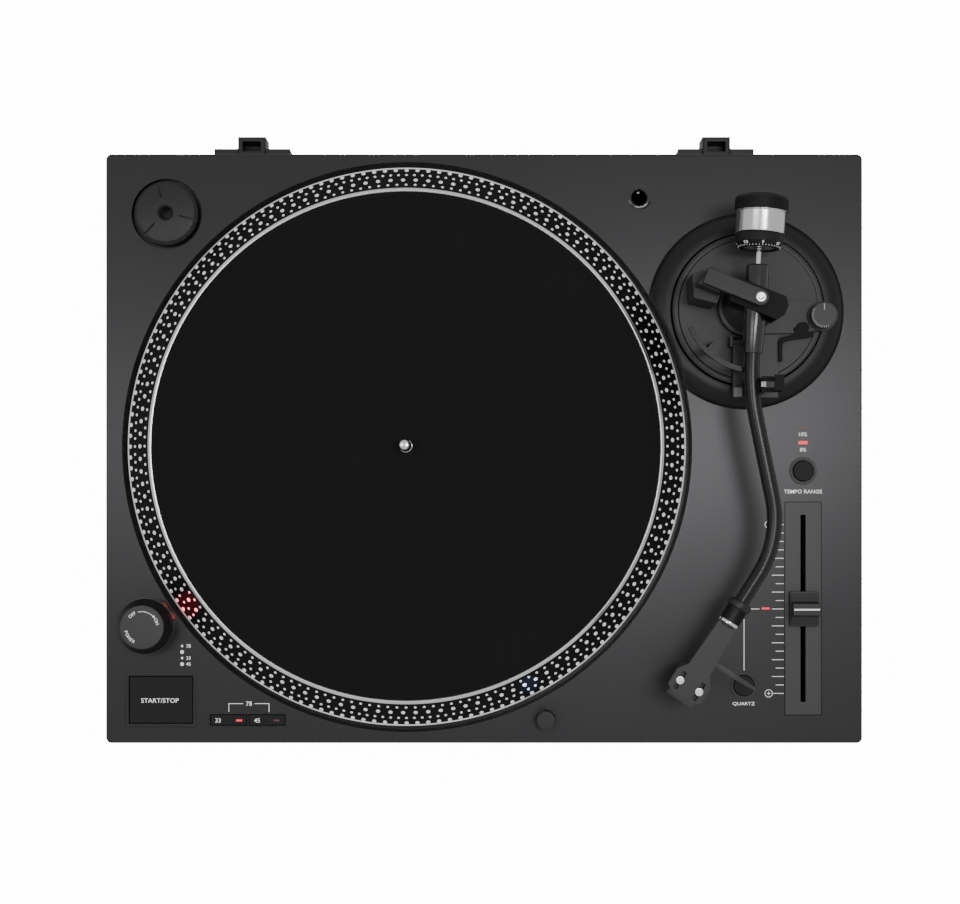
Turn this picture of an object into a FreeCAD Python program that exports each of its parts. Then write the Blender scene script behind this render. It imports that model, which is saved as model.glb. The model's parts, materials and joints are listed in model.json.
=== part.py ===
"""Direct-drive turntable: plinth, drive motor, platter, S-shaped tonearm and controls.

Millimetres. Every piece is drawn in deck coordinates: X to the right and Y to the rear
from the centre of the plinth, Z up from its top face. save() shifts a finished piece so
that the origin lies at the bottom centre of the whole object, under the feet.
"""
import FreeCAD
import Part
import math
import os

Vector = FreeCAD.Vector
UP = Vector(0, 0, 1)
DOWN = Vector(0, 0, -1)

# ---- Plinth -------------------------------------------------------------------------
PLINTH_W = 452.0          # left to right
PLINTH_D = 352.0          # front to back
COVER_H = 34.0            # depth of the metal top cover
BASE_H = 32.0             # depth of the moulded base under it
TOP_WALL = 4.0
SIDE_WALL = 4.0
CORNER_R = 3.5
EDGE_R = 1.2
FIT = 0.2                 # gap between pieces that are laid into one another
RUN = 0.3                 # gap between pieces that move past one another
SHAFT_FIT = 0.05          # radial clearance of a shaft in its bearing

# ---- Feet ---------------------------------------------------------------------------
FOOT_R = 31.0
FOOT_H = 24.0
FOOT_PAD_H = 3.0
FOOT_INSET = 46.0         # from the plinth's sides to the foot's axis
FOOT_STUD_R = 4.0
FOOT_STUD_L = 12.0
FOOT_GAP = 1.0            # between the base and the foot's shoulder

# ---- Platter and motor --------------------------------------------------------------
SPINDLE_X, SPINDLE_Y = -46.0, 1.0
SPINDLE_R = 3.6
SPINDLE_TOP = 35.0
SHOULDER_R = SPINDLE_R + 0.2   # of the spindle, where the mat lies round it
SHAFT_R = 5.0
PLATTER_R = 166.0
PLATTER_GAP = 4.2         # round the platter, in the plinth
WELL_DEPTH = 14.0
WELL_FLOOR = 3.0
PLATTER_TOP = 14.0
PLATTER_PLATE = 5.0
BAND_IN_R = 151.8         # dotted band: inner radius and outer radius
BAND_OUT_R = 165.4
BAND_OUT_Z = 4.0
LIP_H = 1.5
MAT_R = 149.2
MAT_H = 3.0
MOTOR_R = 72.0            # inside of the hole in the well floor
MOTOR_WALL = 3.0
MOTOR_FLANGE = 8.0
MOTOR_FLOOR_Z = -44.0
STATOR_COILS = 12
COIL_RING_R = 46.0
COIL_R = 9.0
COIL_H = 8.0
MAGNET_H = 5.0

# ---- Round parts let into the plinth --------------------------------------------------
ADAPTER_X, ADAPTER_Y = -189.5, 140.2
ADAPTER_WELL_R = 21.0
ADAPTER_WELL_DEPTH = 6.0
ADAPTER_R = ADAPTER_WELL_R - 2.0
ADAPTER_H = 11.0
HOLDER_X, HOLDER_Y = 92.6, 149.9
HOLDER_R = 7.3
HOLDER_DEPTH = 24.0
LIGHT_X, LIGHT_Y = 36.6, -161.4
LIGHT_R = 5.9
LIGHT_TOP = 9.0
LIGHT_TRAVEL = 8.5
QUARTZ_X, QUARTZ_Y = 155.0, -141.4
RANGE_X, RANGE_Y = 190.4, -13.3
ROUND_BUTTON_R = 6.1
ROUND_BUTTON_TOP = 1.6
COLLAR_WALL = 1.8
COLLAR_RISE = 0.6
COLLAR_H = 8.0

# ---- Square and rectangular controls ---------------------------------------------------
PRESS = 1.0               # travel of every push button
START_X, START_Y = -193.0, -150.0
START_W, START_D = 42.7, 32.9
START_RIM = 2.2
SPEED_X, SPEED_Y = -141.1, -162.0
SPEED_W, SPEED_D = 46.6, 8.3
SPEED_RIM = 0.8
SPEED_PITCH = 22.6
BEZEL_H = 8.0
BEZEL_FLOOR = 1.0
BUTTON_H = 5.0
BUTTON_SINK = 0.3         # how far a flat button lies below the plinth's face
KNOB_X, KNOB_Y = -200.1, -105.2
STROBE_R = 16.8
STROBE_H = 11.0
STROBE_WALL = 3.2
KNOB_TOP_R = 12.8
KNOB_TOP = 20.0
KNOB_SHAFT_R = 3.0
WINDOW_W = 12.0
WINDOW_H = 6.0

# ---- Tempo fader -------------------------------------------------------------------------
FADER_X, FADER_Y = 190.4, -95.4
FADER_PLATE_W, FADER_PLATE_D = 21.5, 126.8
FADER_PLATE_H = 1.5
FADER_TRAVEL = 50.0       # each way from the middle
STEM_W = 1.9
SLOT_W = STEM_W + 1.0
STEM_D = 8.0
STEM_BOTTOM = -14.0
FADER_KNOB_W, FADER_KNOB_D = 17.0, 20.7
FADER_KNOB_BASE = 5.0
FADER_KNOB_TOP = 12.0
FADER_GRIP_D = 6.8
FADER_BODY_W = 16.0
FADER_BODY_H = 12.0
FADER_BODY_TOP = -8.0

# ---- Rear ----------------------------------------------------------------------------------
HINGE_X = 141.0
HINGE_PLATE_W = 46.0
HINGE_PLATE_D = 7.0
HINGE_BOX_W = 17.0
HINGE_BOX_D = 14.0
HINGE_TOP = -15.0
HINGE_H = 17.0
HINGE_SLOT_W, HINGE_SLOT_D = 11.0, 6.0
HINGE_SLOT_DEPTH = 14.0
PANEL_X = -145.0
PANEL_W, PANEL_H = 96.0, 20.0
PANEL_T = 3.0
JACK_R = 4.15
JACK_L = 9.0
JACK_PITCH = 14.0

# ---- Tonearm base --------------------------------------------------------------------------
ARM_X, ARM_Y = 156.0, 81.8   # centre of the round base
BASE_RING_R = 58.3
BASE_RING_H = 8.0
NECK_WALL = 1.4
NECK_DEPTH = 12.0
HEIGHT_RING_R = 44.5
BASE_RING_IN_R = HEIGHT_RING_R + RUN
HEIGHT_RING_WALL = 3.2
HEIGHT_RING_TOP = 10.3
ARM_RISE = 6.0
PLATE_Z = 8.0
PLATE_H = 3.0
HUB_R = 17.3
GUIDE_R = 18.0

# ---- Tonearm -------------------------------------------------------------------------------
PIVOT_X, PIVOT_Y = 154.8, 82.6
ARM_Z = 43.0              # height of the arm's axis over the plinth
ARM_TILT = 3.5            # of the straight rear part, in degrees
LIFT_TILT = -22.0         # direction of the lift axis, from +X
SLEEVE_BACK = 20.4
SLEEVE_FRONT = 30.0
TUBE_R = 4.35
SLEEVE_FRONT_R = TUBE_R + 1.25
SLEEVE_R = SLEEVE_FRONT_R + 1.0
BEND_1 = (151.7, 31.8, 137.0)    # where the straight runs would meet, and the bend's radius
BEND_2 = (169.1, -53.3, 60.0)
SHELL_ANGLE = 32.0        # of the headshell, from -Y towards -X
COLLAR_END_X, COLLAR_END_Y = 138.5, -102.0
LOCK_L = 15.3
SOCKET_WALL = 1.0
SHANK_R = 4.0             # standard headshell shank
SOCKET_R = max(SHANK_R + SOCKET_WALL, TUBE_R + 0.65)
HOLDER_BORE_R = SHANK_R + 0.15
SHANK_L = 11.0
LOCK_R = SOCKET_R + 1.3
ROD_R = 1.45
GIMBAL_OPEN_W = 2 * SLEEVE_R + 10.8
GIMBAL_OPEN_H = 2 * SLEEVE_R + 1.6
GIMBAL_W = GIMBAL_OPEN_W + 10.0
GIMBAL_D = 14.0
GIMBAL_BAR = 2.6
PIN_R = 1.5
PIVOT_PIN_R = 2.0
BRIDGE_Z = ARM_Z + 11.0
BRIDGE_H = 6.0
BRIDGE_W = 9.0
BRIDGE_FOOT = -39.0       # far end of the bridge, along its own length
BRIDGE_NEAR = -19.6

# ---- Counterweight, along the arm's axis behind the pivot --------------------------------------
WEIGHT_FRONT = 29.6
DIAL_L = 8.0
WEIGHT_BODY_L = 12.2
WEIGHT_REAR_L = 9.6
DIAL_R = 13.7
WEIGHT_R = 14.0
WEIGHT_REAR_R = 15.2
NOSE_R = 9.0
THREAD_R = 3.2            # of the sleeve inside the weight
WEIGHT_BORE_R = THREAD_R + SHAFT_FIT

# ---- Arm rest, lifter and levers ---------------------------------------------------------------
REST_Y = 35.0
REST_D = 9.0
LIFTER_R = 39.0
LIFTER_W = 2.8
LIFTER_H = 2.6
LIFTER_FROM, LIFTER_TO = 201.0, 262.0
LIFTER_GAP = 0.45
LIFTER_PAD = 0.0          # of the post's arm, past the rail
LIFTER_POST_R = 2.6
LIFTER_POST_IN = 9.67     # from the plate's rim to the post's axis
LIFTER_POST_TURN = math.radians(225.905)
LEVER_X = 148.4
LEVER_W = 5.5
LEVER_BACK, LEVER_FRONT = 62.5, 29.0
LEVER_Z = 17.5
SKATE_X, SKATE_Y = 198.4, 77.2
SKATE_R = 8.0

# ---- Headshell and cartridge, along the shell from the collar's end ------------------------------
SHELL_L = 49.0
SHELL_REAR_W, SHELL_FRONT_W = 11.0, 22.0
SHELL_T = 3.5
SHELL_Z = ARM_Z - 2.2
SHOULDER_AT = 30.0
SCREWS_AT = 41.0
SCREW_PITCH = 12.7        # standard spacing of cartridge screws
CARTRIDGE_SCREW_R = 1.25
CARTRIDGE_SCREW_HEAD_R = 2.3
CARTRIDGE_SCREW_HEAD_H = 1.6
CARTRIDGE_SCREW_IN = 5.0  # length inside the cartridge
SCREW_SLOT_L = 11.0
SCREW_SLOT_W = 2 * CARTRIDGE_SCREW_R + 0.1
CARTRIDGE_W = 17.0
CARTRIDGE_FROM, CARTRIDGE_TO = 29.0, 51.5
CARTRIDGE_H = 16.8
CARTRIDGE_BOTTOM = SHELL_Z - CARTRIDGE_H
STYLUS_AT = 50.4
RECORD_TOP = 18.5
FINGER_AT = 22.7
FINGER_SEAT = 1.35        # from the shell's side to the blade's root
FINGER_L = 25.8

# ---- Inside the plinth ---------------------------------------------------------------------------
TRAY_INSET = 1.0
TRAY_WALL = 6.0
TRAY_BOTTOM = -COVER_H - BASE_H
SCREW_INSET = 12.0        # of the base's screws, from the sides
SCREW_SPREAD = 75.0       # from the middle to the front and the rear
SCREW_R = 2.0
SCREW_HEAD_R = 3.8
SCREW_HEAD_H = 2.4
BOARD_T = 1.6

OVERALL_H = -TRAY_BOTTOM + FOOT_GAP + FOOT_H + FOOT_PAD_H
TO_BASE_ORIGIN = Vector(0, -HINGE_BOX_D / 2, OVERALL_H)


# ---- Smaller sizes ----------------------------------------------------------------------------------
WELL_WALL = 3.0
CUP_WALL = 2.5
LIGHT_FIT = 0.1
LIGHT_SLEEVE_WALL = 1.3
BOSS_R = 6.0
BOARD_W, BOARD_D = 80.0, 60.0
BUSH_R = 9.0
BUSH_TOP = -20.0
BUSH_BOTTOM = -54.0
BUSH_SEAT = -50.0
ROTOR_R = 64.0
MAGNET_GAP = 1.0
ROTOR_T = 2.5
HUB_SEAT = 2.0
PLATTER_BOTTOM = -8.0
LIGHT_DEPTH = 24.0
LED_AT = 6.6              # of the lit bar, from a speed button's middle
SWITCH_TRAVEL = 4.0
CUP_FLOOR = 3.0
SKATE_ARM_H = 4.0
LOCK_PIVOT = (187.0, 70.2)
LEVER_PIN_R = 1.5
CHEEK_T = 1.6
REST_X = 152.55           # under the arm's tube where it lies on the rest
REST_WALL_T = 3.0
CLAMP_REACH = 8.0         # from the pin to the bar, so that the closed clip clears the lifted tube
CLAMP_EAR = 2.7
CLAMP_EYE = 2.2
CLAMP_T = 1.4
PIN_REACH = 4.6           # how near the arm's axis each level pin ends
TUBE_IN = 12.0            # length of tube inside the sleeve
ROD_IN = 8.0

# ---- Places and sizes that follow from the ones above -----------------------------------------------
WELL_R = PLATTER_R + PLATTER_GAP
FLOOR_TOP = -WELL_DEPTH
FLOOR_BOTTOM = FLOOR_TOP - WELL_FLOOR
ARM_HOLE_R = BASE_RING_IN_R + NECK_WALL
COLLAR_R = ROUND_BUTTON_R + RUN + COLLAR_WALL
LIGHT_SLEEVE_R = LIGHT_R + LIGHT_FIT + LIGHT_SLEEVE_WALL
ROUND_HOLES = [(HOLDER_X, HOLDER_Y, HOLDER_R), (QUARTZ_X, QUARTZ_Y, COLLAR_R),
               (RANGE_X, RANGE_Y, COLLAR_R), (LIGHT_X, LIGHT_Y, LIGHT_SLEEVE_R),
               (KNOB_X, KNOB_Y, STROBE_R - STROBE_WALL)]
FOOT_SPOTS = [(sx * (PLINTH_W / 2 - FOOT_INSET), sy * (PLINTH_D / 2 - FOOT_INSET))
              for sy in (-1, 1) for sx in (-1, 1)]
BASE_SCREWS = [(sx * (PLINTH_W / 2 - SCREW_INSET), sy * SCREW_SPREAD) for sy in (-1, 1) for sx in (-1, 1)]
MOTOR_SCREW_R = MOTOR_R + MOTOR_FLANGE / 2 + 0.5
MOTOR_SCREWS = [(SPINDLE_X + MOTOR_SCREW_R * math.cos(math.radians(a)),
                 SPINDLE_Y + MOTOR_SCREW_R * math.sin(math.radians(a))) for a in (45, 135, 225, 315)]
PANEL_Z = -COVER_H - BASE_H / 2
BOARD_Z = TRAY_BOTTOM + TRAY_WALL + 6.0
BOARD_X, BOARD_Y = 160.0, -70.0
BOARD_POSTS = [(BOARD_X + sx * 34.0, BOARD_Y + sy * 24.0) for sx in (-1, 1) for sy in (-1, 1)]
COIL_TOP = MOTOR_FLOOR_Z + MOTOR_WALL + COIL_H
ROTOR_Z = COIL_TOP + MAGNET_GAP + MAGNET_H
PLATE_BOTTOM = PLATTER_TOP - PLATTER_PLATE
BEZELS = [(START_X, START_Y, START_W, START_D, START_RIM),
          (SPEED_X, SPEED_Y, SPEED_W, SPEED_D, SPEED_RIM)]
SLOT_L = 2 * FADER_TRAVEL + STEM_D + 3.6
PANEL_BACK = PLINTH_D / 2 - TRAY_INSET
JACK_XS = (PANEL_X + 6.0, PANEL_X + 6.0 + JACK_PITCH)
GROUND_X = PANEL_X + 38.0
SWITCH_X = PANEL_X - 14.0
INLET_X = PANEL_X - 38.0
CUP_BOTTOM = -NECK_DEPTH
PLATE_TOP = PLATE_Z + PLATE_H
HUB_TOP = ARM_Z - GIMBAL_OPEN_H / 2 - GIMBAL_BAR - RUN
PLATE_R = HEIGHT_RING_R - HEIGHT_RING_WALL - RUN
LIFTER_POST_AT = (ARM_X + (PLATE_R - LIFTER_POST_IN) * math.cos(LIFTER_POST_TURN),
                  ARM_Y + (PLATE_R - LIFTER_POST_IN) * math.sin(LIFTER_POST_TURN))
ARM_AT = Vector(ARM_X, ARM_Y, 0)
SKATE_SEAT = PLATE_TOP + 6.0
LIFTER_TOP = ARM_Z - TUBE_R - LIFTER_GAP
REST_WALL_X = REST_X + TUBE_R + 0.6
CLAMP_PIN_X = REST_WALL_X + REST_WALL_T / 2
PIVOT = Vector(PIVOT_X, PIVOT_Y, ARM_Z)
TILT = math.radians(ARM_TILT)
ARM_FRONT = Vector(-math.sin(TILT), -math.cos(TILT), 0)
WEIGHT_L = DIAL_L + WEIGHT_BODY_L + WEIGHT_REAR_L


# ---- Helpers ---------------------------------------------------------------------------------------
def box(x0, x1, y0, y1, z0, z1):
    return Part.makeBox(x1 - x0, y1 - y0, z1 - z0, Vector(x0, y0, z0))


def centred_box(x, y, w, d, z0, z1):
    return box(x - w / 2, x + w / 2, y - d / 2, y + d / 2, z0, z1)


def disc(x, y, r, z0, z1):
    return Part.makeCylinder(r, z1 - z0, Vector(x, y, z0))


def ring(x, y, r_out, r_in, z0, z1):
    return disc(x, y, r_out, z0, z1).cut(disc(x, y, r_in, z0, z1))


def rod(start, direction, r, length):
    return Part.makeCylinder(r, length, start, direction)


def revolve(outline, at=Vector(0, 0, 0), along=UP):
    """Turn an outline of (radius, height) points about an axis through a point."""
    points = [Vector(r, 0, z) for r, z in outline]
    solid = Part.Face(Part.makePolygon(points + points[:1])).revolve(Vector(0, 0, 0), UP, 360)
    solid.Placement = FreeCAD.Placement(at, FreeCAD.Rotation(UP, along))
    return solid


def prism(points, z0, z1):
    face = Part.Face(Part.makePolygon([Vector(x, y, z0) for x, y in points + points[:1]]))
    return face.extrude(Vector(0, 0, z1 - z0))


def upright_edges(shape):
    return [e for e in shape.Edges if len(e.Vertexes) == 2 and abs(
        e.Vertexes[0].Point.x - e.Vertexes[1].Point.x) < 1e-6 and abs(
        e.Vertexes[0].Point.y - e.Vertexes[1].Point.y) < 1e-6]


def rounded_box(x, y, w, d, z0, z1, r):
    shape = centred_box(x, y, w, d, z0, z1)
    return shape.makeFillet(r, upright_edges(shape))


def top_edges(shape, z):
    return [e for e in shape.Edges if all(abs(v.Point.z - z) < 1e-6 for v in e.Vertexes)]


def fuse(shapes):
    return shapes[0].multiFuse(shapes[1:]).removeSplitter()


def turned(shape, x, y, degrees):
    """A copy of the shape, turned about an upright axis through (x, y)."""
    copy = shape.copy()
    copy.rotate(Vector(x, y, 0), UP, degrees)
    return copy


def save(node, *shapes):
    shape = shapes[0].copy() if len(shapes) == 1 else Part.makeCompound(list(shapes))
    shape.translate(TO_BASE_ORIGIN)
    if not shape.isValid():
        raise ValueError(node + " is not a valid shape")
    shape.exportStep("parts/" + node + ".step")


# ---- Plinth --------------------------------------------------------------------------------------


def top_cover():
    body = rounded_box(0, 0, PLINTH_W, PLINTH_D, -COVER_H, 0, CORNER_R)
    body = body.makeFillet(EDGE_R, top_edges(body, 0))
    body = body.cut(rounded_box(0, 0, PLINTH_W - 2 * SIDE_WALL, PLINTH_D - 2 * SIDE_WALL,
                                -COVER_H, -TOP_WALL, CORNER_R - 1.0))
    well = disc(SPINDLE_X, SPINDLE_Y, WELL_R + WELL_WALL, FLOOR_BOTTOM, -TOP_WALL + 1.0)
    cup = disc(ADAPTER_X, ADAPTER_Y, ADAPTER_WELL_R + CUP_WALL,
               -ADAPTER_WELL_DEPTH - CUP_WALL, -TOP_WALL + 1.0)
    outside = centred_box(0, 0, PLINTH_W - 2.0, PLINTH_D - 2.0, -COVER_H, 0)
    bosses = [disc(x, y, BOSS_R, -COVER_H, -TOP_WALL + 1.0) for x, y in BASE_SCREWS]
    body = body.multiFuse([well.common(outside), cup] + bosses)
    cuts = [disc(SPINDLE_X, SPINDLE_Y, WELL_R, FLOOR_TOP, 1.0),
            disc(SPINDLE_X, SPINDLE_Y, MOTOR_R, FLOOR_BOTTOM - 1.0, 1.0),
            disc(ADAPTER_X, ADAPTER_Y, ADAPTER_WELL_R, -ADAPTER_WELL_DEPTH, 1.0),
            centred_box(START_X, START_Y, START_W, START_D, -TOP_WALL - 1.0, 1.0),
            centred_box(SPEED_X, SPEED_Y, SPEED_W, SPEED_D, -TOP_WALL - 1.0, 1.0),
            centred_box(FADER_X, FADER_Y, FADER_PLATE_W, FADER_PLATE_D, -FADER_PLATE_H, 1.0),
            centred_box(FADER_X, FADER_Y, 3 * SLOT_W, FADER_PLATE_D - 10.0, -TOP_WALL - 1.0, 1.0),
            disc(ARM_X, ARM_Y, ARM_HOLE_R, -COVER_H, 1.0)]
    cuts += [disc(x, y, r, -TOP_WALL - 1.0, 1.0) for x, y, r in ROUND_HOLES]
    cuts += [disc(x, y, SCREW_R, -COVER_H, -COVER_H + 10.0) for x, y in BASE_SCREWS]
    cuts += [disc(x, y, SCREW_R, FLOOR_BOTTOM - 1.0, FLOOR_TOP + 1.0) for x, y in MOTOR_SCREWS]
    save("top_cover", body.cut(Part.makeCompound(cuts)).removeSplitter())


def base_tray():
    w, d = PLINTH_W - 2 * TRAY_INSET, PLINTH_D - 2 * TRAY_INSET
    body = rounded_box(0, 0, w, d, TRAY_BOTTOM, -COVER_H, CORNER_R)
    body = body.makeChamfer(2.0, top_edges(body, TRAY_BOTTOM))
    body = body.cut(rounded_box(0, 0, w - 2 * TRAY_WALL, d - 2 * TRAY_WALL,
                                TRAY_BOTTOM + TRAY_WALL, -COVER_H, CORNER_R - 1.0))
    bosses = [disc(x, y, BOSS_R, TRAY_BOTTOM + TRAY_WALL - 1.0, -COVER_H) for x, y in BASE_SCREWS]
    bosses += [disc(x, y, FOOT_STUD_R + 5.0, TRAY_BOTTOM + 1.0, TRAY_BOTTOM + FOOT_STUD_L + 3.0)
               for x, y in FOOT_SPOTS]
    bosses += [disc(x, y, 4.0, TRAY_BOTTOM + TRAY_WALL - 1.0, BOARD_Z) for x, y in BOARD_POSTS]
    body = body.multiFuse(bosses)
    cuts = [disc(x, y, FOOT_STUD_R + SHAFT_FIT, TRAY_BOTTOM - 1.0,
                 TRAY_BOTTOM + FOOT_STUD_L - FOOT_GAP + RUN) for x, y in FOOT_SPOTS]
    cuts += [disc(x, y, SCREW_R, TRAY_BOTTOM, -COVER_H) for x, y in BASE_SCREWS]
    cuts += [disc(x, y, SCREW_HEAD_R, TRAY_BOTTOM, TRAY_BOTTOM + SCREW_HEAD_H)
             for x, y in BASE_SCREWS]
    cuts.append(box(PANEL_X - PANEL_W / 2, PANEL_X + PANEL_W / 2, d / 2 - TRAY_WALL - 1.0,
                    d / 2 + 1.0, PANEL_Z - PANEL_H / 2, PANEL_Z + PANEL_H / 2))
    save("base_tray", body.cut(Part.makeCompound(cuts)).removeSplitter())


def case_screws():
    """One kind of screw: into the cover's sides from below, and into the motor's flange."""
    screws = []
    for x, y in BASE_SCREWS:
        screws.append(disc(x, y, SCREW_HEAD_R - 0.2, TRAY_BOTTOM, TRAY_BOTTOM + SCREW_HEAD_H).fuse(
            disc(x, y, SCREW_R, TRAY_BOTTOM + SCREW_HEAD_H, -COVER_H + 9.0)).removeSplitter())
    for x, y in MOTOR_SCREWS:
        screws.append(disc(x, y, SCREW_HEAD_R, FLOOR_TOP, FLOOR_TOP + SCREW_HEAD_H).fuse(
            disc(x, y, SCREW_R, FLOOR_BOTTOM - 2.5, FLOOR_TOP)).removeSplitter())
    save("case_screws", *screws)


def feet():
    """A wide plastic foot with a rubber sole, on a stud that screws into the base."""
    names = ["foot_front_left", "foot_front_right", "foot_rear_left", "foot_rear_right"]
    top = TRAY_BOTTOM - FOOT_GAP
    for name, (x, y) in zip(names, FOOT_SPOTS):
        body = revolve([(0, top - FOOT_H), (FOOT_R - 3.0, top - FOOT_H), (FOOT_R, top - FOOT_H + 6.0),
                        (FOOT_R, top - 3.0), (FOOT_R - 2.0, top), (FOOT_STUD_R, top),
                        (FOOT_STUD_R, top + FOOT_STUD_L - 1.0), (FOOT_STUD_R - 1.0, top + FOOT_STUD_L),
                        (0, top + FOOT_STUD_L)], Vector(x, y, 0))
        sole = disc(x, y, FOOT_R - 4.0, top - FOOT_H - FOOT_PAD_H, top - FOOT_H)
        save(name, body, sole)


def main_board():
    save("main_board", centred_box(BOARD_X, BOARD_Y, BOARD_W, BOARD_D, BOARD_Z, BOARD_Z + BOARD_T))


def hinge_sockets():
    """Two sockets behind the plinth that hold the dust cover's hinges, open at the top."""
    sockets = []
    back = PLINTH_D / 2
    for x in (-HINGE_X, HINGE_X):
        plate = box(x - HINGE_PLATE_W / 2, x + HINGE_PLATE_W / 2, back, back + HINGE_PLATE_D,
                    HINGE_TOP - HINGE_H, HINGE_TOP - 2.0)
        block = box(x - HINGE_BOX_W / 2, x + HINGE_BOX_W / 2, back, back + HINGE_BOX_D,
                    HINGE_TOP - HINGE_H, HINGE_TOP)
        block = block.makeChamfer(1.0, top_edges(block, HINGE_TOP))
        slot = centred_box(x, back + HINGE_BOX_D / 2 + 1.0, HINGE_SLOT_W, HINGE_SLOT_D,
                           HINGE_TOP - HINGE_SLOT_DEPTH, HINGE_TOP)
        sockets.append(plate.fuse(block).cut(slot).removeSplitter())
    save("hinge_sockets", *sockets)


# ---- Motor and platter ---------------------------------------------------------------------------


def motor_housing():
    wall_r = MOTOR_R - 0.5
    outline = [(BUSH_R, MOTOR_FLOOR_Z), (wall_r, MOTOR_FLOOR_Z), (wall_r, FLOOR_BOTTOM - MOTOR_WALL),
               (MOTOR_R + MOTOR_FLANGE, FLOOR_BOTTOM - MOTOR_WALL),
               (MOTOR_R + MOTOR_FLANGE, FLOOR_BOTTOM), (wall_r - MOTOR_WALL, FLOOR_BOTTOM),
               (wall_r - MOTOR_WALL, MOTOR_FLOOR_Z + MOTOR_WALL), (BUSH_R, MOTOR_FLOOR_Z + MOTOR_WALL)]
    body = revolve(outline, Vector(SPINDLE_X, SPINDLE_Y, 0))
    holes = [disc(x, y, SCREW_R, FLOOR_BOTTOM - MOTOR_WALL, FLOOR_BOTTOM) for x, y in MOTOR_SCREWS]
    save("motor_housing", body.cut(Part.makeCompound(holes)))


def bearing_bush():
    bore = SHAFT_R + SHAFT_FIT
    outline = [(0, BUSH_BOTTOM), (BUSH_R, BUSH_BOTTOM), (BUSH_R, MOTOR_FLOOR_Z + MOTOR_WALL),
               (BUSH_R + 6.0, MOTOR_FLOOR_Z + MOTOR_WALL), (BUSH_R + 6.0, MOTOR_FLOOR_Z + MOTOR_WALL + 2.5),
               (BUSH_R, MOTOR_FLOOR_Z + MOTOR_WALL + 2.5), (BUSH_R, ROTOR_Z - 1.0), (bore, ROTOR_Z - 1.0),
               (bore, BUSH_SEAT), (0, BUSH_SEAT)]
    save("bearing_bush", revolve(outline, Vector(SPINDLE_X, SPINDLE_Y, 0)))


def stator_coils():
    coils = []
    floor = MOTOR_FLOOR_Z + MOTOR_WALL
    for i in range(STATOR_COILS):
        angle = 2 * math.pi * i / STATOR_COILS
        x = SPINDLE_X + COIL_RING_R * math.cos(angle)
        y = SPINDLE_Y + COIL_RING_R * math.sin(angle)
        coils.append(ring(x, y, COIL_R, COIL_R / 3, floor, floor + COIL_H))
    save("stator_coils", *coils)


def spindle_shaft():
    """Shaft, rotor plate and platter seat turned as one piece, with the record's spindle on top."""
    tip = SPINDLE_R * 0.6
    outline = [(0, BUSH_SEAT + SHAFT_FIT), (SHAFT_R - 1.0, BUSH_SEAT + SHAFT_FIT),
               (SHAFT_R, BUSH_SEAT + 1.0), (SHAFT_R, ROTOR_Z), (ROTOR_R, ROTOR_Z),
               (ROTOR_R, ROTOR_Z + ROTOR_T), (16.0, ROTOR_Z + ROTOR_T), (16.0, HUB_SEAT),
               (SHAFT_R, HUB_SEAT), (SHAFT_R, PLATTER_TOP - 2.0), (SHOULDER_R, PLATTER_TOP),
               (SHOULDER_R, PLATTER_TOP + MAT_H), (SPINDLE_R, PLATTER_TOP + MAT_H),
               (SPINDLE_R, SPINDLE_TOP - 2.5), (SPINDLE_R - 0.5, SPINDLE_TOP - 1.2),
               (tip, SPINDLE_TOP - 0.2), (0, SPINDLE_TOP)]
    save("spindle_shaft", revolve(outline, Vector(SPINDLE_X, SPINDLE_Y, 0)))


def rotor_magnet():
    save("rotor_magnet", ring(SPINDLE_X, SPINDLE_Y, ROTOR_R - 2.0, 32.0, ROTOR_Z - MAGNET_H, ROTOR_Z))


def platter():
    lip = BAND_IN_R - 1.4
    outline = [(SHAFT_R, HUB_SEAT), (24.0, HUB_SEAT), (24.0, PLATE_BOTTOM),
               (PLATTER_R - 12.0, PLATE_BOTTOM), (PLATTER_R - 6.0, BAND_OUT_Z - 6.0),
               (PLATTER_R - 6.0, PLATTER_BOTTOM), (PLATTER_R - 0.8, PLATTER_BOTTOM),
               (PLATTER_R, PLATTER_BOTTOM + 0.8), (PLATTER_R, BAND_OUT_Z - 0.6),
               (BAND_OUT_R, BAND_OUT_Z), (BAND_IN_R, PLATTER_TOP + LIP_H - 0.9),
               (lip, PLATTER_TOP + LIP_H), (MAT_R + FIT, PLATTER_TOP + LIP_H - 0.3),
               (MAT_R + FIT, PLATTER_TOP), (SHAFT_R, PLATTER_TOP)]
    body = revolve(outline, Vector(SPINDLE_X, SPINDLE_Y, 0))
    ribs = [ring(SPINDLE_X, SPINDLE_Y, r + 3.0, r, PLATE_BOTTOM - 4.0, PLATE_BOTTOM) for r in (80.0, 120.0)]
    save("platter", fuse([body] + ribs).cut(revolve(
        [(0, PLATTER_TOP - 2.0), (SHAFT_R, PLATTER_TOP - 2.0), (SHOULDER_R, PLATTER_TOP),
         (0, PLATTER_TOP)], Vector(SPINDLE_X, SPINDLE_Y, 0))))


def slip_mat():
    mat = ring(SPINDLE_X, SPINDLE_Y, MAT_R, SHOULDER_R + FIT, PLATTER_TOP, PLATTER_TOP + MAT_H)
    save("slip_mat", mat)


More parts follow.
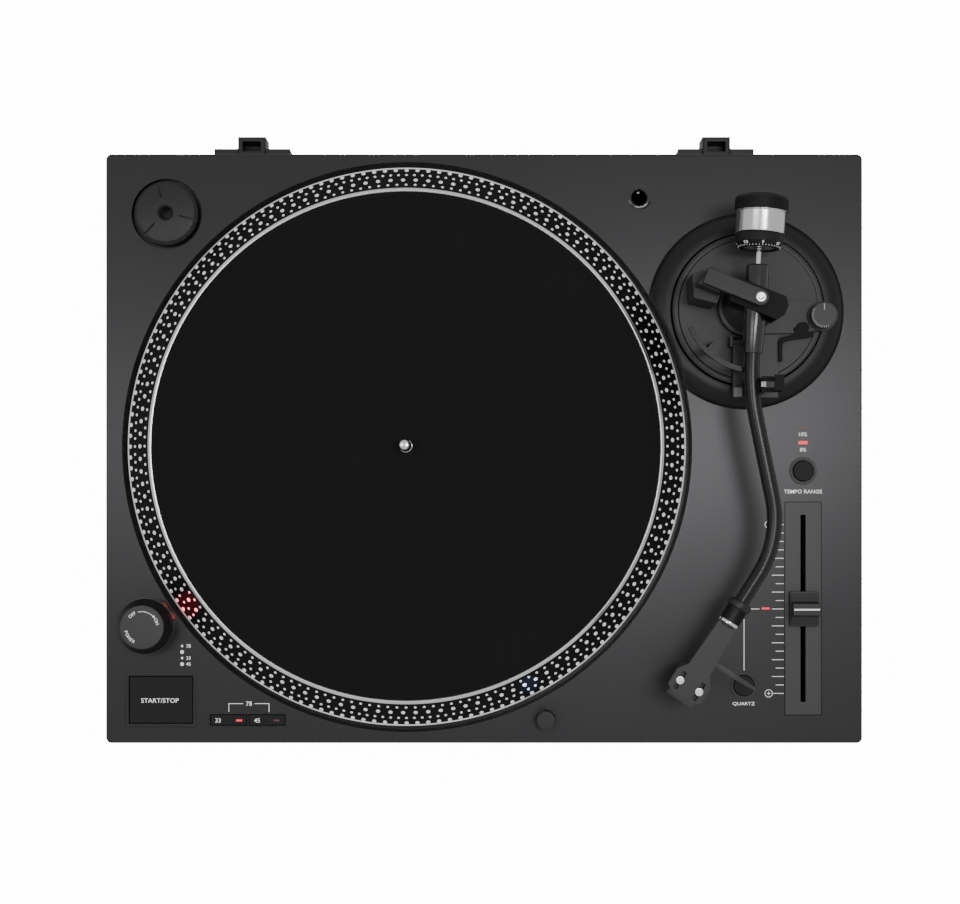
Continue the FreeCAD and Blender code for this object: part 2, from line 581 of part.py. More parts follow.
# ---- Round parts ------------------------------------------------------------------------------------
def adapter_45():
    """Large-hole record adapter lying in its well: a flared disc with a hub and three grooves."""
    bottom = -ADAPTER_WELL_DEPTH
    top = bottom + ADAPTER_H
    bore = SPINDLE_R + SHAFT_FIT
    outline = [(bore, bottom), (ADAPTER_R - 1.0, bottom), (ADAPTER_R, bottom + 1.0),
               (ADAPTER_R, top - 3.0), (ADAPTER_R - 2.0, top - 1.0), (8.8, top), (4.9, top),
               (bore, top - 1.2)]
    body = revolve(outline, Vector(ADAPTER_X, ADAPTER_Y, 0))
    groove = box(ADAPTER_X + 9.0, ADAPTER_X + ADAPTER_R + 1.0, ADAPTER_Y - 0.6, ADAPTER_Y + 0.6,
                 top - 2.2, top + 1.0)
    grooves = [turned(groove, ADAPTER_X, ADAPTER_Y, a) for a in (104, 226, 346)]
    save("adapter_45", body.cut(Part.makeCompound(grooves)))


def headshell_holder():
    """Socket that takes a spare headshell's shank, with a notch front and rear for its pin."""
    outline = [(HOLDER_BORE_R, -HOLDER_DEPTH), (HOLDER_R - 0.6, -HOLDER_DEPTH), (HOLDER_R - 0.6, -TOP_WALL),
               (HOLDER_R, -TOP_WALL), (HOLDER_R, 0), (HOLDER_R - 1.2, 0.6), (HOLDER_BORE_R + 0.8, 0.6),
               (HOLDER_BORE_R, -0.4)]
    body = revolve(outline, Vector(HOLDER_X, HOLDER_Y, 0))
    notches = centred_box(HOLDER_X, HOLDER_Y, 1.6, 2 * HOLDER_BORE_R + 1.6, -8.0, 1.0)
    save("headshell_holder", body.cut(notches))


def button_collars():
    """Collars of the two round buttons and the housing of the pop-up light."""
    collars = []
    for x, y in ((QUARTZ_X, QUARTZ_Y), (RANGE_X, RANGE_Y)):
        body = disc(x, y, COLLAR_R, -COLLAR_H, 0).fuse(ring(x, y, COLLAR_R - 0.2, ROUND_BUTTON_R + RUN, 0,
                                                          COLLAR_RISE))
        collars.append(body.cut(disc(x, y, ROUND_BUTTON_R + RUN, -COLLAR_H + BEZEL_FLOOR, 1.0)))
    sleeve = disc(LIGHT_X, LIGHT_Y, LIGHT_SLEEVE_R, -LIGHT_DEPTH, COLLAR_RISE)
    collars.append(sleeve.cut(disc(LIGHT_X, LIGHT_Y, LIGHT_R + LIGHT_FIT, -LIGHT_DEPTH + 1.5, COLLAR_RISE)))
    save("button_collars", *[c.removeSplitter() for c in collars])


def round_button(node, x, y):
    body = disc(x, y, ROUND_BUTTON_R, -COLLAR_H + BEZEL_FLOOR + PRESS + RUN, ROUND_BUTTON_TOP)
    save(node, body.makeFillet(0.6, top_edges(body, ROUND_BUTTON_TOP)))


def target_light():
    """Pop-up lamp post beside the platter, with a small window that faces the stylus's path."""
    body = disc(LIGHT_X, LIGHT_Y, LIGHT_R, -LIGHT_DEPTH + 1.5 + LIGHT_TRAVEL + RUN, LIGHT_TOP)
    body = body.makeFillet(1.2, top_edges(body, LIGHT_TOP))
    window = box(LIGHT_X - 5.0, LIGHT_X - 1.0, LIGHT_Y + 2.5, LIGHT_Y + LIGHT_R + 1.0, 2.5, 6.0)
    save("target_light", body.cut(window))


def strobe_housing():
    """Round tower beside the platter: the strobe lamp shines from its window onto the dots."""
    body = disc(KNOB_X, KNOB_Y, STROBE_R, 0, STROBE_H).fuse(
        disc(KNOB_X, KNOB_Y, STROBE_R - STROBE_WALL, -TOP_WALL - 3.0, 0))
    body = body.cut(disc(KNOB_X, KNOB_Y, KNOB_SHAFT_R + SHAFT_FIT, -TOP_WALL - 3.0, STROBE_H))
    save("strobe_housing", body.cut(window_block(1.0)).removeSplitter())


def window_block(extra):
    """The strobe's window, cut into the tower on the side of the platter."""
    toward = math.degrees(math.atan2(SPINDLE_Y - KNOB_Y, SPINDLE_X - KNOB_X))
    block = box(KNOB_X + STROBE_R - 3.0, KNOB_X + STROBE_R + extra, KNOB_Y - WINDOW_W / 2,
                KNOB_Y + WINDOW_W / 2, 3.0, 3.0 + WINDOW_H)
    return turned(block, KNOB_X, KNOB_Y, toward)


def power_knob():
    z0 = STROBE_H + RUN
    outline = [(0, -TOP_WALL - 2.0), (KNOB_SHAFT_R, -TOP_WALL - 2.0), (KNOB_SHAFT_R, z0),
               (STROBE_R - 0.6, z0), (STROBE_R - 0.6, z0 + 2.0), (KNOB_TOP_R, KNOB_TOP - 0.6),
               (KNOB_TOP_R - 0.8, KNOB_TOP), (0, KNOB_TOP)]
    save("power_knob", revolve(outline, Vector(KNOB_X, KNOB_Y, 0)))


# ---- Rectangular controls -------------------------------------------------------------------------


def control_bezels():
    shapes = []
    for x, y, w, d, rim in BEZELS:
        body = centred_box(x, y, w, d, -BEZEL_H, 0)
        inside = centred_box(x, y, w - 2 * rim, d - 2 * rim, -BEZEL_H + BEZEL_FLOOR, 1.0)
        shapes.append(body.cut(inside))
    divider = centred_box(SPEED_X, SPEED_Y, 1.0, SPEED_D - 2 * SPEED_RIM, -BEZEL_H + BEZEL_FLOOR, -0.5)
    shapes[1] = shapes[1].fuse(divider).removeSplitter()
    save("control_bezels", *shapes)


def flat_button(node, x, y, w, d, edge):
    body = centred_box(x, y, w, d, -BUTTON_SINK - BUTTON_H, -BUTTON_SINK)
    save(node, body.makeFillet(edge, top_edges(body, -BUTTON_SINK)))


def buttons():
    inner_w, inner_d = START_W - 2 * START_RIM, START_D - 2 * START_RIM
    flat_button("start_stop_button", START_X, START_Y, inner_w - 2 * RUN, inner_d - 2 * RUN, 0.5)
    half = (SPEED_W - 2 * SPEED_RIM - 1.0) / 2
    for node, side in (("button_33", -1), ("button_45", 1)):
        flat_button(node, SPEED_X + side * (half + 1.0) / 2, SPEED_Y, half - 2 * RUN,
                    SPEED_D - 2 * SPEED_RIM - 2 * RUN, 0.3)
    round_button("quartz_button", QUARTZ_X, QUARTZ_Y)
    round_button("tempo_range_button", RANGE_X, RANGE_Y)


def indicator_lights():
    """Two bars of the tempo range, the quartz mark's bar and the strobe's window."""
    bars = [centred_box(RANGE_X, y, 5.5, 2.0, 0, 0.3) for y in (3.6, 12.5)]
    bars.append(centred_box(FADER_X - 22.3, FADER_Y, 4.8, 1.2, 0, 0.3))
    window = window_block(-0.9).common(disc(KNOB_X, KNOB_Y, STROBE_R, 0, STROBE_H))
    save("indicator_lights", window, *bars)


# ---- Tempo fader ----------------------------------------------------------------------------------
def fader_plate():
    plate = centred_box(FADER_X, FADER_Y, FADER_PLATE_W, FADER_PLATE_D, -FADER_PLATE_H, 0.4)
    slot = centred_box(FADER_X, FADER_Y, SLOT_W, SLOT_L, -FADER_PLATE_H, 1.0)
    save("fader_plate", plate.cut(slot))


def fader_knob():
    foot = centred_box(FADER_X, FADER_Y, FADER_KNOB_W, FADER_KNOB_D, 1.0, FADER_KNOB_BASE)
    foot = foot.makeFillet(1.2, upright_edges(foot))
    half_d, half_g = FADER_KNOB_D / 2 - 1.0, FADER_GRIP_D / 2
    side = [(-half_d, FADER_KNOB_BASE), (-half_g - 1.0, FADER_KNOB_BASE + 1.6), (-half_g, FADER_KNOB_TOP),
            (half_g, FADER_KNOB_TOP), (half_g + 1.0, FADER_KNOB_BASE + 1.6), (half_d, FADER_KNOB_BASE)]
    left = FADER_X - FADER_KNOB_W / 2 + 0.5
    face = Part.Face(Part.makePolygon([Vector(left, FADER_Y + y, z) for y, z in side + side[:1]]))
    grip = face.extrude(Vector(FADER_KNOB_W - 1.0, 0, 0))
    stem = centred_box(FADER_X, FADER_Y, STEM_W, STEM_D, STEM_BOTTOM, 1.0)
    save("fader_knob", fuse([foot, grip, stem]))


def fader_body():
    """Sliding potentiometer under the plinth, hung from the cover by a lug at each end."""
    bottom = FADER_BODY_TOP - FADER_BODY_H
    body = centred_box(FADER_X, FADER_Y, FADER_BODY_W, SLOT_L + 16.0, bottom, FADER_BODY_TOP)
    channel = centred_box(FADER_X, FADER_Y, STEM_W + 1.2, SLOT_L + 2.0, STEM_BOTTOM - 1.0, FADER_BODY_TOP)
    lugs = [centred_box(FADER_X, FADER_Y + side * (SLOT_L / 2 + 4.0), FADER_BODY_W, 6.0,
                        FADER_BODY_TOP, -TOP_WALL) for side in (-1, 1)]
    clear = centred_box(FADER_X, FADER_Y, 3 * SLOT_W, FADER_PLATE_D - 10.0, FADER_BODY_TOP, 0)
    save("fader_body", fuse([body.cut(channel)] + [lug.cut(clear) for lug in lugs if lug.cut(clear).Solids]))


# ---- Rear panel ---------------------------------------------------------------------------------


def terminal_panel():
    plate = box(PANEL_X - PANEL_W / 2 + FIT, PANEL_X + PANEL_W / 2 - FIT, PANEL_BACK - PANEL_T - 1.0,
                PANEL_BACK - 1.0, PANEL_Z - PANEL_H / 2, PANEL_Z + PANEL_H / 2)
    y0 = PANEL_BACK - PANEL_T - 2.0
    holes = [rod(Vector(x, y0, PANEL_Z), Vector(0, 1, 0), JACK_R + 1.2, 6.0) for x in JACK_XS]
    holes.append(rod(Vector(INLET_X, y0, PANEL_Z), Vector(0, 1, 0), 5.0, 6.0))
    holes.append(rod(Vector(GROUND_X, y0, PANEL_Z), Vector(0, 1, 0), SCREW_R + SHAFT_FIT, 6.0))
    holes.append(box(SWITCH_X - 5.0, SWITCH_X + 5.0, y0, PANEL_BACK + 1.0, PANEL_Z - 2.0, PANEL_Z + 2.0))
    save("terminal_panel", plate.cut(Part.makeCompound(holes)))


def rear_jacks():
    """Two phono sockets and the round power inlet, each with its body behind the panel."""
    jacks = []
    back = PANEL_BACK - 1.0
    out = Vector(0, 1, 0)
    for x in JACK_XS:
        start = Vector(x, back - PANEL_T - 6.0, PANEL_Z)
        body = rod(start, out, JACK_R + 1.2, PANEL_T + 6.0)
        shell = rod(Vector(x, back, PANEL_Z), out, JACK_R, JACK_L)
        bore = rod(Vector(x, back - 2.0, PANEL_Z), out, 1.6, JACK_L + 3.0)
        jacks.append(body.fuse(shell).cut(bore).removeSplitter())
    inlet = rod(Vector(INLET_X, back - PANEL_T - 8.0, PANEL_Z), out, 5.0, PANEL_T + 8.0)
    inlet = inlet.cut(rod(Vector(INLET_X, back - 9.0, PANEL_Z), out, 2.8, 12.0))
    pin = rod(Vector(INLET_X, back - 9.5, PANEL_Z), out, 1.0, 8.5)
    jacks.append(inlet.fuse(pin).removeSplitter())
    save("rear_jacks", *jacks)


def ground_terminal():
    out = Vector(0, 1, 0)
    back = PANEL_BACK - 1.0
    head = rod(Vector(GROUND_X, back + RUN, PANEL_Z), out, 4.0, 6.0)
    shank = rod(Vector(GROUND_X, back - PANEL_T - 4.0, PANEL_Z), out, SCREW_R, PANEL_T + 4.0 + RUN)
    save("ground_terminal", head.fuse(shank).removeSplitter())


def selector_switch():
    """Slide switch that selects the output level."""
    back = PANEL_BACK - 1.0
    slider = box(SWITCH_X - 4.6, SWITCH_X - 4.6 + 5.0, back - PANEL_T - 1.0, back + 1.5,
                 PANEL_Z - 1.7, PANEL_Z + 1.7)
    save("selector_switch", slider)


# ---- Tonearm base ---------------------------------------------------------------------------------


def arm_base_ring():
    """Fixed ring: a broad dished rim on the plinth and a cup through it that guides the arm's base."""
    neck_r = BASE_RING_IN_R + NECK_WALL
    outline = [(GUIDE_R + SHAFT_FIT, CUP_BOTTOM), (neck_r, CUP_BOTTOM), (neck_r, 0), (BASE_RING_R, 0),
               (BASE_RING_R, 1.4), (BASE_RING_R - 1.5, 3.6), (BASE_RING_R - 4.2, 6.2),
               (BASE_RING_R - 7.4, 7.7), (BASE_RING_R - 10.0, BASE_RING_H), (BASE_RING_IN_R + 0.8, BASE_RING_H),
               (BASE_RING_IN_R, BASE_RING_H - 0.8), (BASE_RING_IN_R, CUP_BOTTOM + CUP_FLOOR),
               (GUIDE_R + 3.0, CUP_BOTTOM + CUP_FLOOR), (GUIDE_R + 3.0, 2.0), (GUIDE_R + SHAFT_FIT, 2.0)]
    beside_platter = disc(SPINDLE_X, SPINDLE_Y, WELL_R, 0, BASE_RING_H + 1.0)
    save("arm_base_ring", revolve(outline, ARM_AT).cut(beside_platter))


def height_ring():
    inner = HEIGHT_RING_R - HEIGHT_RING_WALL
    outline = [(inner, CUP_BOTTOM + CUP_FLOOR + RUN), (HEIGHT_RING_R, CUP_BOTTOM + CUP_FLOOR + RUN),
               (HEIGHT_RING_R, HEIGHT_RING_TOP - 1.6), (HEIGHT_RING_R - 0.5, HEIGHT_RING_TOP - 1.6),
               (HEIGHT_RING_R - 0.5, HEIGHT_RING_TOP - 0.3), (HEIGHT_RING_R - 0.8, HEIGHT_RING_TOP),
               (inner, HEIGHT_RING_TOP)]
    save("height_ring", revolve(outline, ARM_AT))


def arm_base_plate():
    """The grey plate that rises and falls: guide, hub, and the arms that carry rest and dial."""
    plate = disc(ARM_X, ARM_Y, PLATE_R, PLATE_Z, PLATE_TOP)
    guide = disc(ARM_X, ARM_Y, GUIDE_R, CUP_BOTTOM - 4.0, PLATE_Z)
    hub = disc(PIVOT_X, PIVOT_Y, HUB_R, PLATE_TOP, PLATE_TOP + 7.0)
    tower = Part.makeCone(HUB_R - 2.0, 9.0, HUB_TOP - PLATE_TOP - 7.0,
                          Vector(PIVOT_X, PIVOT_Y, PLATE_TOP + 7.0))
    pin = disc(PIVOT_X, PIVOT_Y, PIVOT_PIN_R, HUB_TOP, HUB_TOP + 1.8)
    skate_arm = prism([(162.0, 86.8), (185.0, 86.2), (SKATE_X, SKATE_Y + SKATE_R), (SKATE_X, SKATE_Y - SKATE_R),
                       (185.0, 67.4), (162.0, 67.0)], PLATE_TOP, PLATE_TOP + SKATE_ARM_H)
    dial_seat = disc(SKATE_X, SKATE_Y, SKATE_R + 0.6, PLATE_TOP, SKATE_SEAT)
    front = box(LEVER_X + LEVER_W / 2 + 1.0, 172.8, REST_Y - REST_D / 2 - 1.0, 66.5, PLATE_TOP,
                PLATE_TOP + SKATE_ARM_H)
    body = fuse([plate, guide, hub, tower, pin, skate_arm, dial_seat, front] + lever_cheeks())
    holes = [disc(*LIFTER_POST_AT, LIFTER_POST_R + SHAFT_FIT, PLATE_Z - 1.0, PLATE_TOP + 1.0),
             disc(SKATE_X, SKATE_Y, 2.0 + SHAFT_FIT, PLATE_TOP, SKATE_SEAT + 1.0),
             disc(*LOCK_PIVOT, 1.5 + SHAFT_FIT, PLATE_TOP - 0.5, PLATE_TOP + SKATE_ARM_H + 1.0),
             lever_pin(SHAFT_FIT)]
    save("arm_base_plate", body.cut(Part.makeCompound(holes)).removeSplitter())


def lever_cheeks():
    """Two ears that hold the lever's pin."""
    half = LEVER_W / 2 + RUN
    return [box(LEVER_X + s * half - (CHEEK_T if s < 0 else 0), LEVER_X + s * half + (CHEEK_T if s > 0 else 0),
                LEVER_BACK - 3.5, LEVER_BACK + 2.5, PLATE_TOP - 1.0, LEVER_Z + 3.0) for s in (-1, 1)]


def lever_pin(extra):
    half = LEVER_W / 2 + RUN + CHEEK_T
    return rod(Vector(LEVER_X - half, LEVER_BACK - 0.5, LEVER_Z), Vector(1, 0, 0), LEVER_PIN_R + extra, 2 * half)


def cue_lever():
    """Lever left of the arm: its front end is lifted to raise the arm."""
    bar = box(LEVER_X - LEVER_W / 2, LEVER_X + LEVER_W / 2, LEVER_FRONT, LEVER_BACK, LEVER_Z - 1.7,
              LEVER_Z + 1.7)
    eye = rod(Vector(LEVER_X - LEVER_W / 2, LEVER_BACK - 0.5, LEVER_Z), Vector(1, 0, 0), 2.7, LEVER_W)
    tip = centred_box(LEVER_X, LEVER_FRONT + 3.3, LEVER_W + 0.6, 6.6, LEVER_Z - 2.0, LEVER_Z + 2.2)
    tip = tip.makeFillet(0.8, upright_edges(tip))
    save("cue_lever", fuse([bar, eye, tip, lever_pin(0)]))


def height_lock_lever():
    """Flat angled lever that locks the arm's height, turning on a pin under the dial's arm."""
    z0 = PLATE_TOP + SKATE_ARM_H + RUN
    outline = [(LOCK_PIVOT[0] + 4.0, LOCK_PIVOT[1] - 2.2), (193.0, 68.0), (193.0, 64.9), (181.5, 63.6),
               (176.0, 62.0), (175.0, 60.0), (175.0, 50.5), (172.6, 50.5), (172.6, 62.5), (174.5, 64.6),
               (182.5, 67.0), (LOCK_PIVOT[0] - 5.0, LOCK_PIVOT[1] + 0.5)]
    arm = prism(outline, z0, z0 + 1.6)
    eye = disc(*LOCK_PIVOT, 3.6, z0, z0 + 1.6)
    pin = disc(*LOCK_PIVOT, 1.5, PLATE_TOP, z0)
    save("height_lock_lever", fuse([arm, eye, pin]))


def anti_skate_dial():
    z0 = SKATE_SEAT + RUN
    outline = [(0, PLATE_TOP + 0.5), (2.0, PLATE_TOP + 0.5), (2.0, z0), (SKATE_R, z0), (SKATE_R, z0 + 4.2),
               (SKATE_R - 0.8, z0 + 5.0), (0, z0 + 5.0)]
    save("anti_skate_dial", revolve(outline, Vector(SKATE_X, SKATE_Y, 0)))


def arm_lifter():
    """Curved rail under the arm, centred on the arm's pivot, on a post that slides up and down."""
    pivot = Vector(PIVOT_X, PIVOT_Y, 0)
    rail = ring(PIVOT_X, PIVOT_Y, LIFTER_R + LIFTER_W / 2, LIFTER_R - LIFTER_W / 2,
                LIFTER_TOP - LIFTER_H, LIFTER_TOP)
    reach = LIFTER_R + 20.0
    angles = [math.radians(a) for a in (LIFTER_FROM, (LIFTER_FROM + LIFTER_TO) / 2, LIFTER_TO)]
    wedge = prism([(pivot.x, pivot.y)] + [(pivot.x + reach * math.cos(a), pivot.y + reach * math.sin(a))
                                          for a in angles], LIFTER_TOP - LIFTER_H, LIFTER_TOP)
    x, y = LIFTER_POST_AT
    post_top = LIFTER_TOP - LIFTER_H
    post = disc(x, y, LIFTER_POST_R, PLATE_Z - 8.0, post_top)
    out = Vector(x - pivot.x, y - pivot.y, 0)
    bridge_l = LIFTER_R + LIFTER_W / 2 + LIFTER_PAD - out.Length
    reach_out = box(0, bridge_l, -LIFTER_POST_R, LIFTER_POST_R, post_top - 2.0, post_top)
    reach_out.Placement = FreeCAD.Placement(Vector(x, y, 0), FreeCAD.Rotation(Vector(1, 0, 0), out))
    save("arm_lifter", fuse([rail.common(wedge), post, reach_out]))


def arm_rest():
    """Saddle that the parked arm lies over, open on the platter's side, with a wall that carries the clamp."""
    z0 = PLATE_TOP + SKATE_ARM_H
    y0, y1 = REST_Y - REST_D / 2, REST_Y + REST_D / 2
    x0, x1 = LEVER_X + LEVER_W / 2 + 1.0, REST_WALL_X + REST_WALL_T
    low = ARM_Z - TUBE_R - 4.0
    saddle = box(x0, x1, y0, y1, low, ARM_Z - TUBE_R - LIFTER_GAP)
    column = box(x0 + 1.0, x1, y0, y1, z0, low)
    wall = box(REST_WALL_X, x1, y0 + CLAMP_EAR + RUN, y1 - CLAMP_EAR - RUN, low, ARM_Z + 2.0)
    save("arm_rest", fuse([saddle, column, wall]).cut(clamp_pin(SHAFT_FIT)))


def clamp_pin(extra):
    return rod(Vector(CLAMP_PIN_X, REST_Y - REST_D / 2, ARM_Z), Vector(0, 1, 0), 0.8 + extra, REST_D)


def arm_clamp():
    """Clip that swings over the parked tube; at rest it stands open, to the right of the tube."""
    y0, y1 = REST_Y - REST_D / 2, REST_Y + REST_D / 2
    bar_x = CLAMP_PIN_X + CLAMP_REACH
    half = CLAMP_EYE / 2
    ear = [(CLAMP_PIN_X - half, -half), (bar_x + CLAMP_T, -half), (bar_x + CLAMP_T, 3.0), (bar_x, 3.0),
           (bar_x - 2.5, half), (CLAMP_PIN_X - half, half)]
    pieces = [clamp_pin(0), box(bar_x, bar_x + CLAMP_T, y0, y1, ARM_Z + 3.0, ARM_Z + 14.5),
              box(bar_x - 4.0, bar_x + CLAMP_T, y0, y1, ARM_Z + 14.5 - CLAMP_T, ARM_Z + 14.5)]
    for y in (y0, y1 - CLAMP_EAR):
        face = Part.Face(Part.makePolygon([Vector(x, y, ARM_Z + z) for x, z in ear + ear[:1]]))
        pieces.append(face.extrude(Vector(0, CLAMP_EAR, 0)))
    save("arm_clamp", fuse(pieces))


# ---- Bearing --------------------------------------------------------------------------------------


def along_lift_axis(shape):
    """Place a shape drawn about the pivot with the lift axis along X."""
    shape.Placement = FreeCAD.Placement(Vector(PIVOT_X, PIVOT_Y, 0), FreeCAD.Rotation(UP, LIFT_TILT))
    return shape


def along_arm(outline, at=0.0):
    """Turn an outline of (radius, distance in front of the pivot) points about the arm's axis."""
    return revolve(outline, PIVOT + ARM_FRONT * at, ARM_FRONT)


def bearing_bridge():
    """Foot beside the arm and a beam over it that holds the upper pivot."""
    low = prism([(BRIDGE_FOOT + 6.0, -11.0), (BRIDGE_NEAR, -9.0), (BRIDGE_NEAR, 8.0), (BRIDGE_FOOT + 9.0, 9.5),
                 (BRIDGE_FOOT, 1.0)], PLATE_TOP, BRIDGE_Z - 14.0)
    high = prism([(BRIDGE_FOOT + 4.0, -5.0), (BRIDGE_NEAR - 2.0, -5.0), (BRIDGE_NEAR - 2.0, 6.0),
                  (BRIDGE_FOOT + 7.0, 6.0)], BRIDGE_Z - 14.0, BRIDGE_Z)
    beam = box(BRIDGE_FOOT + 6.0, 0, -BRIDGE_W / 2, BRIDGE_W / 2, BRIDGE_Z, BRIDGE_Z + BRIDGE_H)
    nose = disc(0, 0, BRIDGE_W / 2, BRIDGE_Z, BRIDGE_Z + BRIDGE_H)
    body = fuse([low, high, beam, nose]).cut(disc(0, 0, 2.0, BRIDGE_Z - 1.0, BRIDGE_Z + BRIDGE_H + 1.0))
    save("bearing_bridge", along_lift_axis(body))


def pivot_screw():
    """Upper pivot: a screw through the beam whose end runs in the gimbal."""
    top = ARM_Z + GIMBAL_OPEN_H / 2 + GIMBAL_BAR
    outline = [(0, top - 1.8), (PIVOT_PIN_R - SHAFT_FIT, top - 1.8), (PIVOT_PIN_R - SHAFT_FIT, BRIDGE_Z + BRIDGE_H),
               (3.0, BRIDGE_Z + BRIDGE_H), (3.0, BRIDGE_Z + BRIDGE_H + 0.9), (2.5, BRIDGE_Z + BRIDGE_H + 1.3),
               (1.2, BRIDGE_Z + BRIDGE_H + 1.3), (1.2, BRIDGE_Z + BRIDGE_H + 0.4), (0, BRIDGE_Z + BRIDGE_H + 0.4)]
    save("pivot_screw", along_lift_axis(revolve(outline)))


def gimbal():
    """Frame that swings about the upright pivot and holds the arm on two level pins."""
    half_h = GIMBAL_OPEN_H / 2
    end = GIMBAL_W / 2
    flat = GIMBAL_D / 2
    outer = prism([(-end, -flat + 4.0), (-end + 3.0, -flat), (end - 3.0, -flat), (end, -flat + 4.0),
                   (end, flat - 4.0), (end - 3.0, flat), (-end + 3.0, flat), (-end, flat - 4.0)],
                  ARM_Z - half_h - GIMBAL_BAR, ARM_Z + half_h + GIMBAL_BAR)
    opening = centred_box(0, 0, GIMBAL_OPEN_W, GIMBAL_D + 2.0, ARM_Z - half_h, ARM_Z + half_h)
    lower = disc(0, 0, PIVOT_PIN_R + SHAFT_FIT, ARM_Z - half_h - GIMBAL_BAR - 1.0, ARM_Z - half_h + 0.1)
    upper = disc(0, 0, PIVOT_PIN_R, ARM_Z + half_h - 0.1, ARM_Z + half_h + GIMBAL_BAR + 1.0)
    body = outer.cut(Part.makeCompound([opening, lower, upper]))
    pins = [rod(Vector(s * GIMBAL_OPEN_W / 2, 0, ARM_Z), Vector(-s, 0, 0), PIN_R, GIMBAL_OPEN_W / 2 - PIN_REACH)
            for s in (-1, 1)]
    save("gimbal", along_lift_axis(fuse([body] + pins)))


# ---- Arm ------------------------------------------------------------------------------------------
def arm_sleeve():
    """Bearing block of the arm: thick round sleeve, tapering to the front, with a bore for each pin."""
    body = along_arm([(0, -SLEEVE_BACK), (SLEEVE_R - 0.8, -SLEEVE_BACK), (SLEEVE_R, -SLEEVE_BACK + 0.8),
                      (SLEEVE_R, 6.0), (SLEEVE_FRONT_R, SLEEVE_FRONT), (0, SLEEVE_FRONT)])
    front_bore = along_arm([(0, SLEEVE_FRONT - TUBE_IN), (TUBE_R, SLEEVE_FRONT - TUBE_IN),
                            (TUBE_R, SLEEVE_FRONT + 1.0), (0, SLEEVE_FRONT + 1.0)])
    rear_bore = along_arm([(0, -SLEEVE_BACK - 1.0), (ROD_R, -SLEEVE_BACK - 1.0), (ROD_R, -SLEEVE_BACK + ROD_IN),
                           (0, -SLEEVE_BACK + ROD_IN)])
    pins = along_lift_axis(rod(Vector(-SLEEVE_R * 2, 0, ARM_Z), Vector(1, 0, 0), PIN_R + SHAFT_FIT, SLEEVE_R * 4))
    middle = along_lift_axis(centred_box(0, 0, 2 * PIN_REACH - 1.0, 8.0, ARM_Z - 4.0, ARM_Z + 4.0))
    save("arm_sleeve", body.cut(front_bore).cut(rear_bore).cut(pins.cut(middle)))


def arm_path():
    """Centre line of the tube: straight, a slight bend, straight, the strong bend, straight."""
    start = PIVOT + ARM_FRONT * (SLEEVE_FRONT - TUBE_IN)
    shell = shell_direction()
    end = Vector(COLLAR_END_X, COLLAR_END_Y, ARM_Z) - shell * (LOCK_L - 1.0)
    corners = [Vector(x, y, ARM_Z) for x, y, r in (BEND_1, BEND_2)]
    radii = [r for x, y, r in (BEND_1, BEND_2)]
    points = [start] + corners + [end]
    edges = []
    here = start
    for i, radius in enumerate(radii, 1):
        back = (points[i - 1] - points[i]).normalize()
        ahead = (points[i + 1] - points[i]).normalize()
        half = (math.pi - back.getAngle(ahead)) / 2
        tangent = radius * math.tan(half)
        inward = (back + ahead).normalize()
        middle = points[i] + inward * (radius / math.cos(half) - radius)
        enter, leave = points[i] + back * tangent, points[i] + ahead * tangent
        edges += [Part.LineSegment(here, enter).toShape(), Part.Arc(enter, middle, leave).toShape()]
        here = leave
    edges.append(Part.LineSegment(here, end).toShape())
    return Part.Wire(edges)


def shell_direction():
    angle = math.radians(SHELL_ANGLE)
    return Vector(-math.sin(angle), -math.cos(angle), 0)


def on_shell(shape):
    """Place a shape drawn along X, with its start at the collar's end, on the headshell's axis."""
    turn = math.degrees(math.atan2(shell_direction().y, shell_direction().x))
    shape.Placement = FreeCAD.Placement(Vector(COLLAR_END_X, COLLAR_END_Y, 0), FreeCAD.Rotation(UP, turn))
    return shape


def shell_ring(outline):
    """Turn an outline of (radius, distance along the headshell's axis) points about that axis."""
    return revolve(outline, Vector(COLLAR_END_X, COLLAR_END_Y, ARM_Z), shell_direction())


def arm_tube():
    """S-shaped tube with the socket for the headshell's shank at its end."""
    path = arm_path()
    first = path.Edges[0]
    start = first.valueAt(first.FirstParameter)
    circle = Part.Wire(Part.makeCircle(TUBE_R, start, start - PIVOT))
    tube = path.makePipeShell([circle], True, False)
    socket = shell_ring([(SHANK_R + SHAFT_FIT, -SHANK_L - 1.0), (0, -SHANK_L - 1.0), (0, -LOCK_L + 0.2),
                         (SOCKET_R, -LOCK_L + 0.2), (SOCKET_R, -0.6), (SHANK_R + SHAFT_FIT, -0.6)])
    cut_back = shell_ring([(0, -SHANK_L - 1.0), (TUBE_R + 1.0, -SHANK_L - 1.0), (TUBE_R + 1.0, 1.0), (0, 1.0)])
    save("arm_tube", tube.cut(cut_back).fuse(socket).removeSplitter())


def locking_collar():
    """Collar round the socket; turning it draws the headshell in."""
    inner = SOCKET_R + SHAFT_FIT
    outline = [(inner, -LOCK_L), (LOCK_R - 0.4, -LOCK_L), (LOCK_R + 0.6, -LOCK_L + 0.8),
               (LOCK_R + 0.6, -LOCK_L + 4.0), (LOCK_R - 0.6, -LOCK_L + 4.6), (LOCK_R - 0.6, -2.6),
               (LOCK_R, -2.2), (LOCK_R, -0.6), (inner, -0.6)]
    save("locking_collar", shell_ring(outline))


def counterweight_rod():
    save("counterweight_rod", along_arm([(0, -WEIGHT_FRONT - 32.0), (ROD_R, -WEIGHT_FRONT - 32.0),
                                         (ROD_R, -SLEEVE_BACK + ROD_IN), (0, -SLEEVE_BACK + ROD_IN)]))


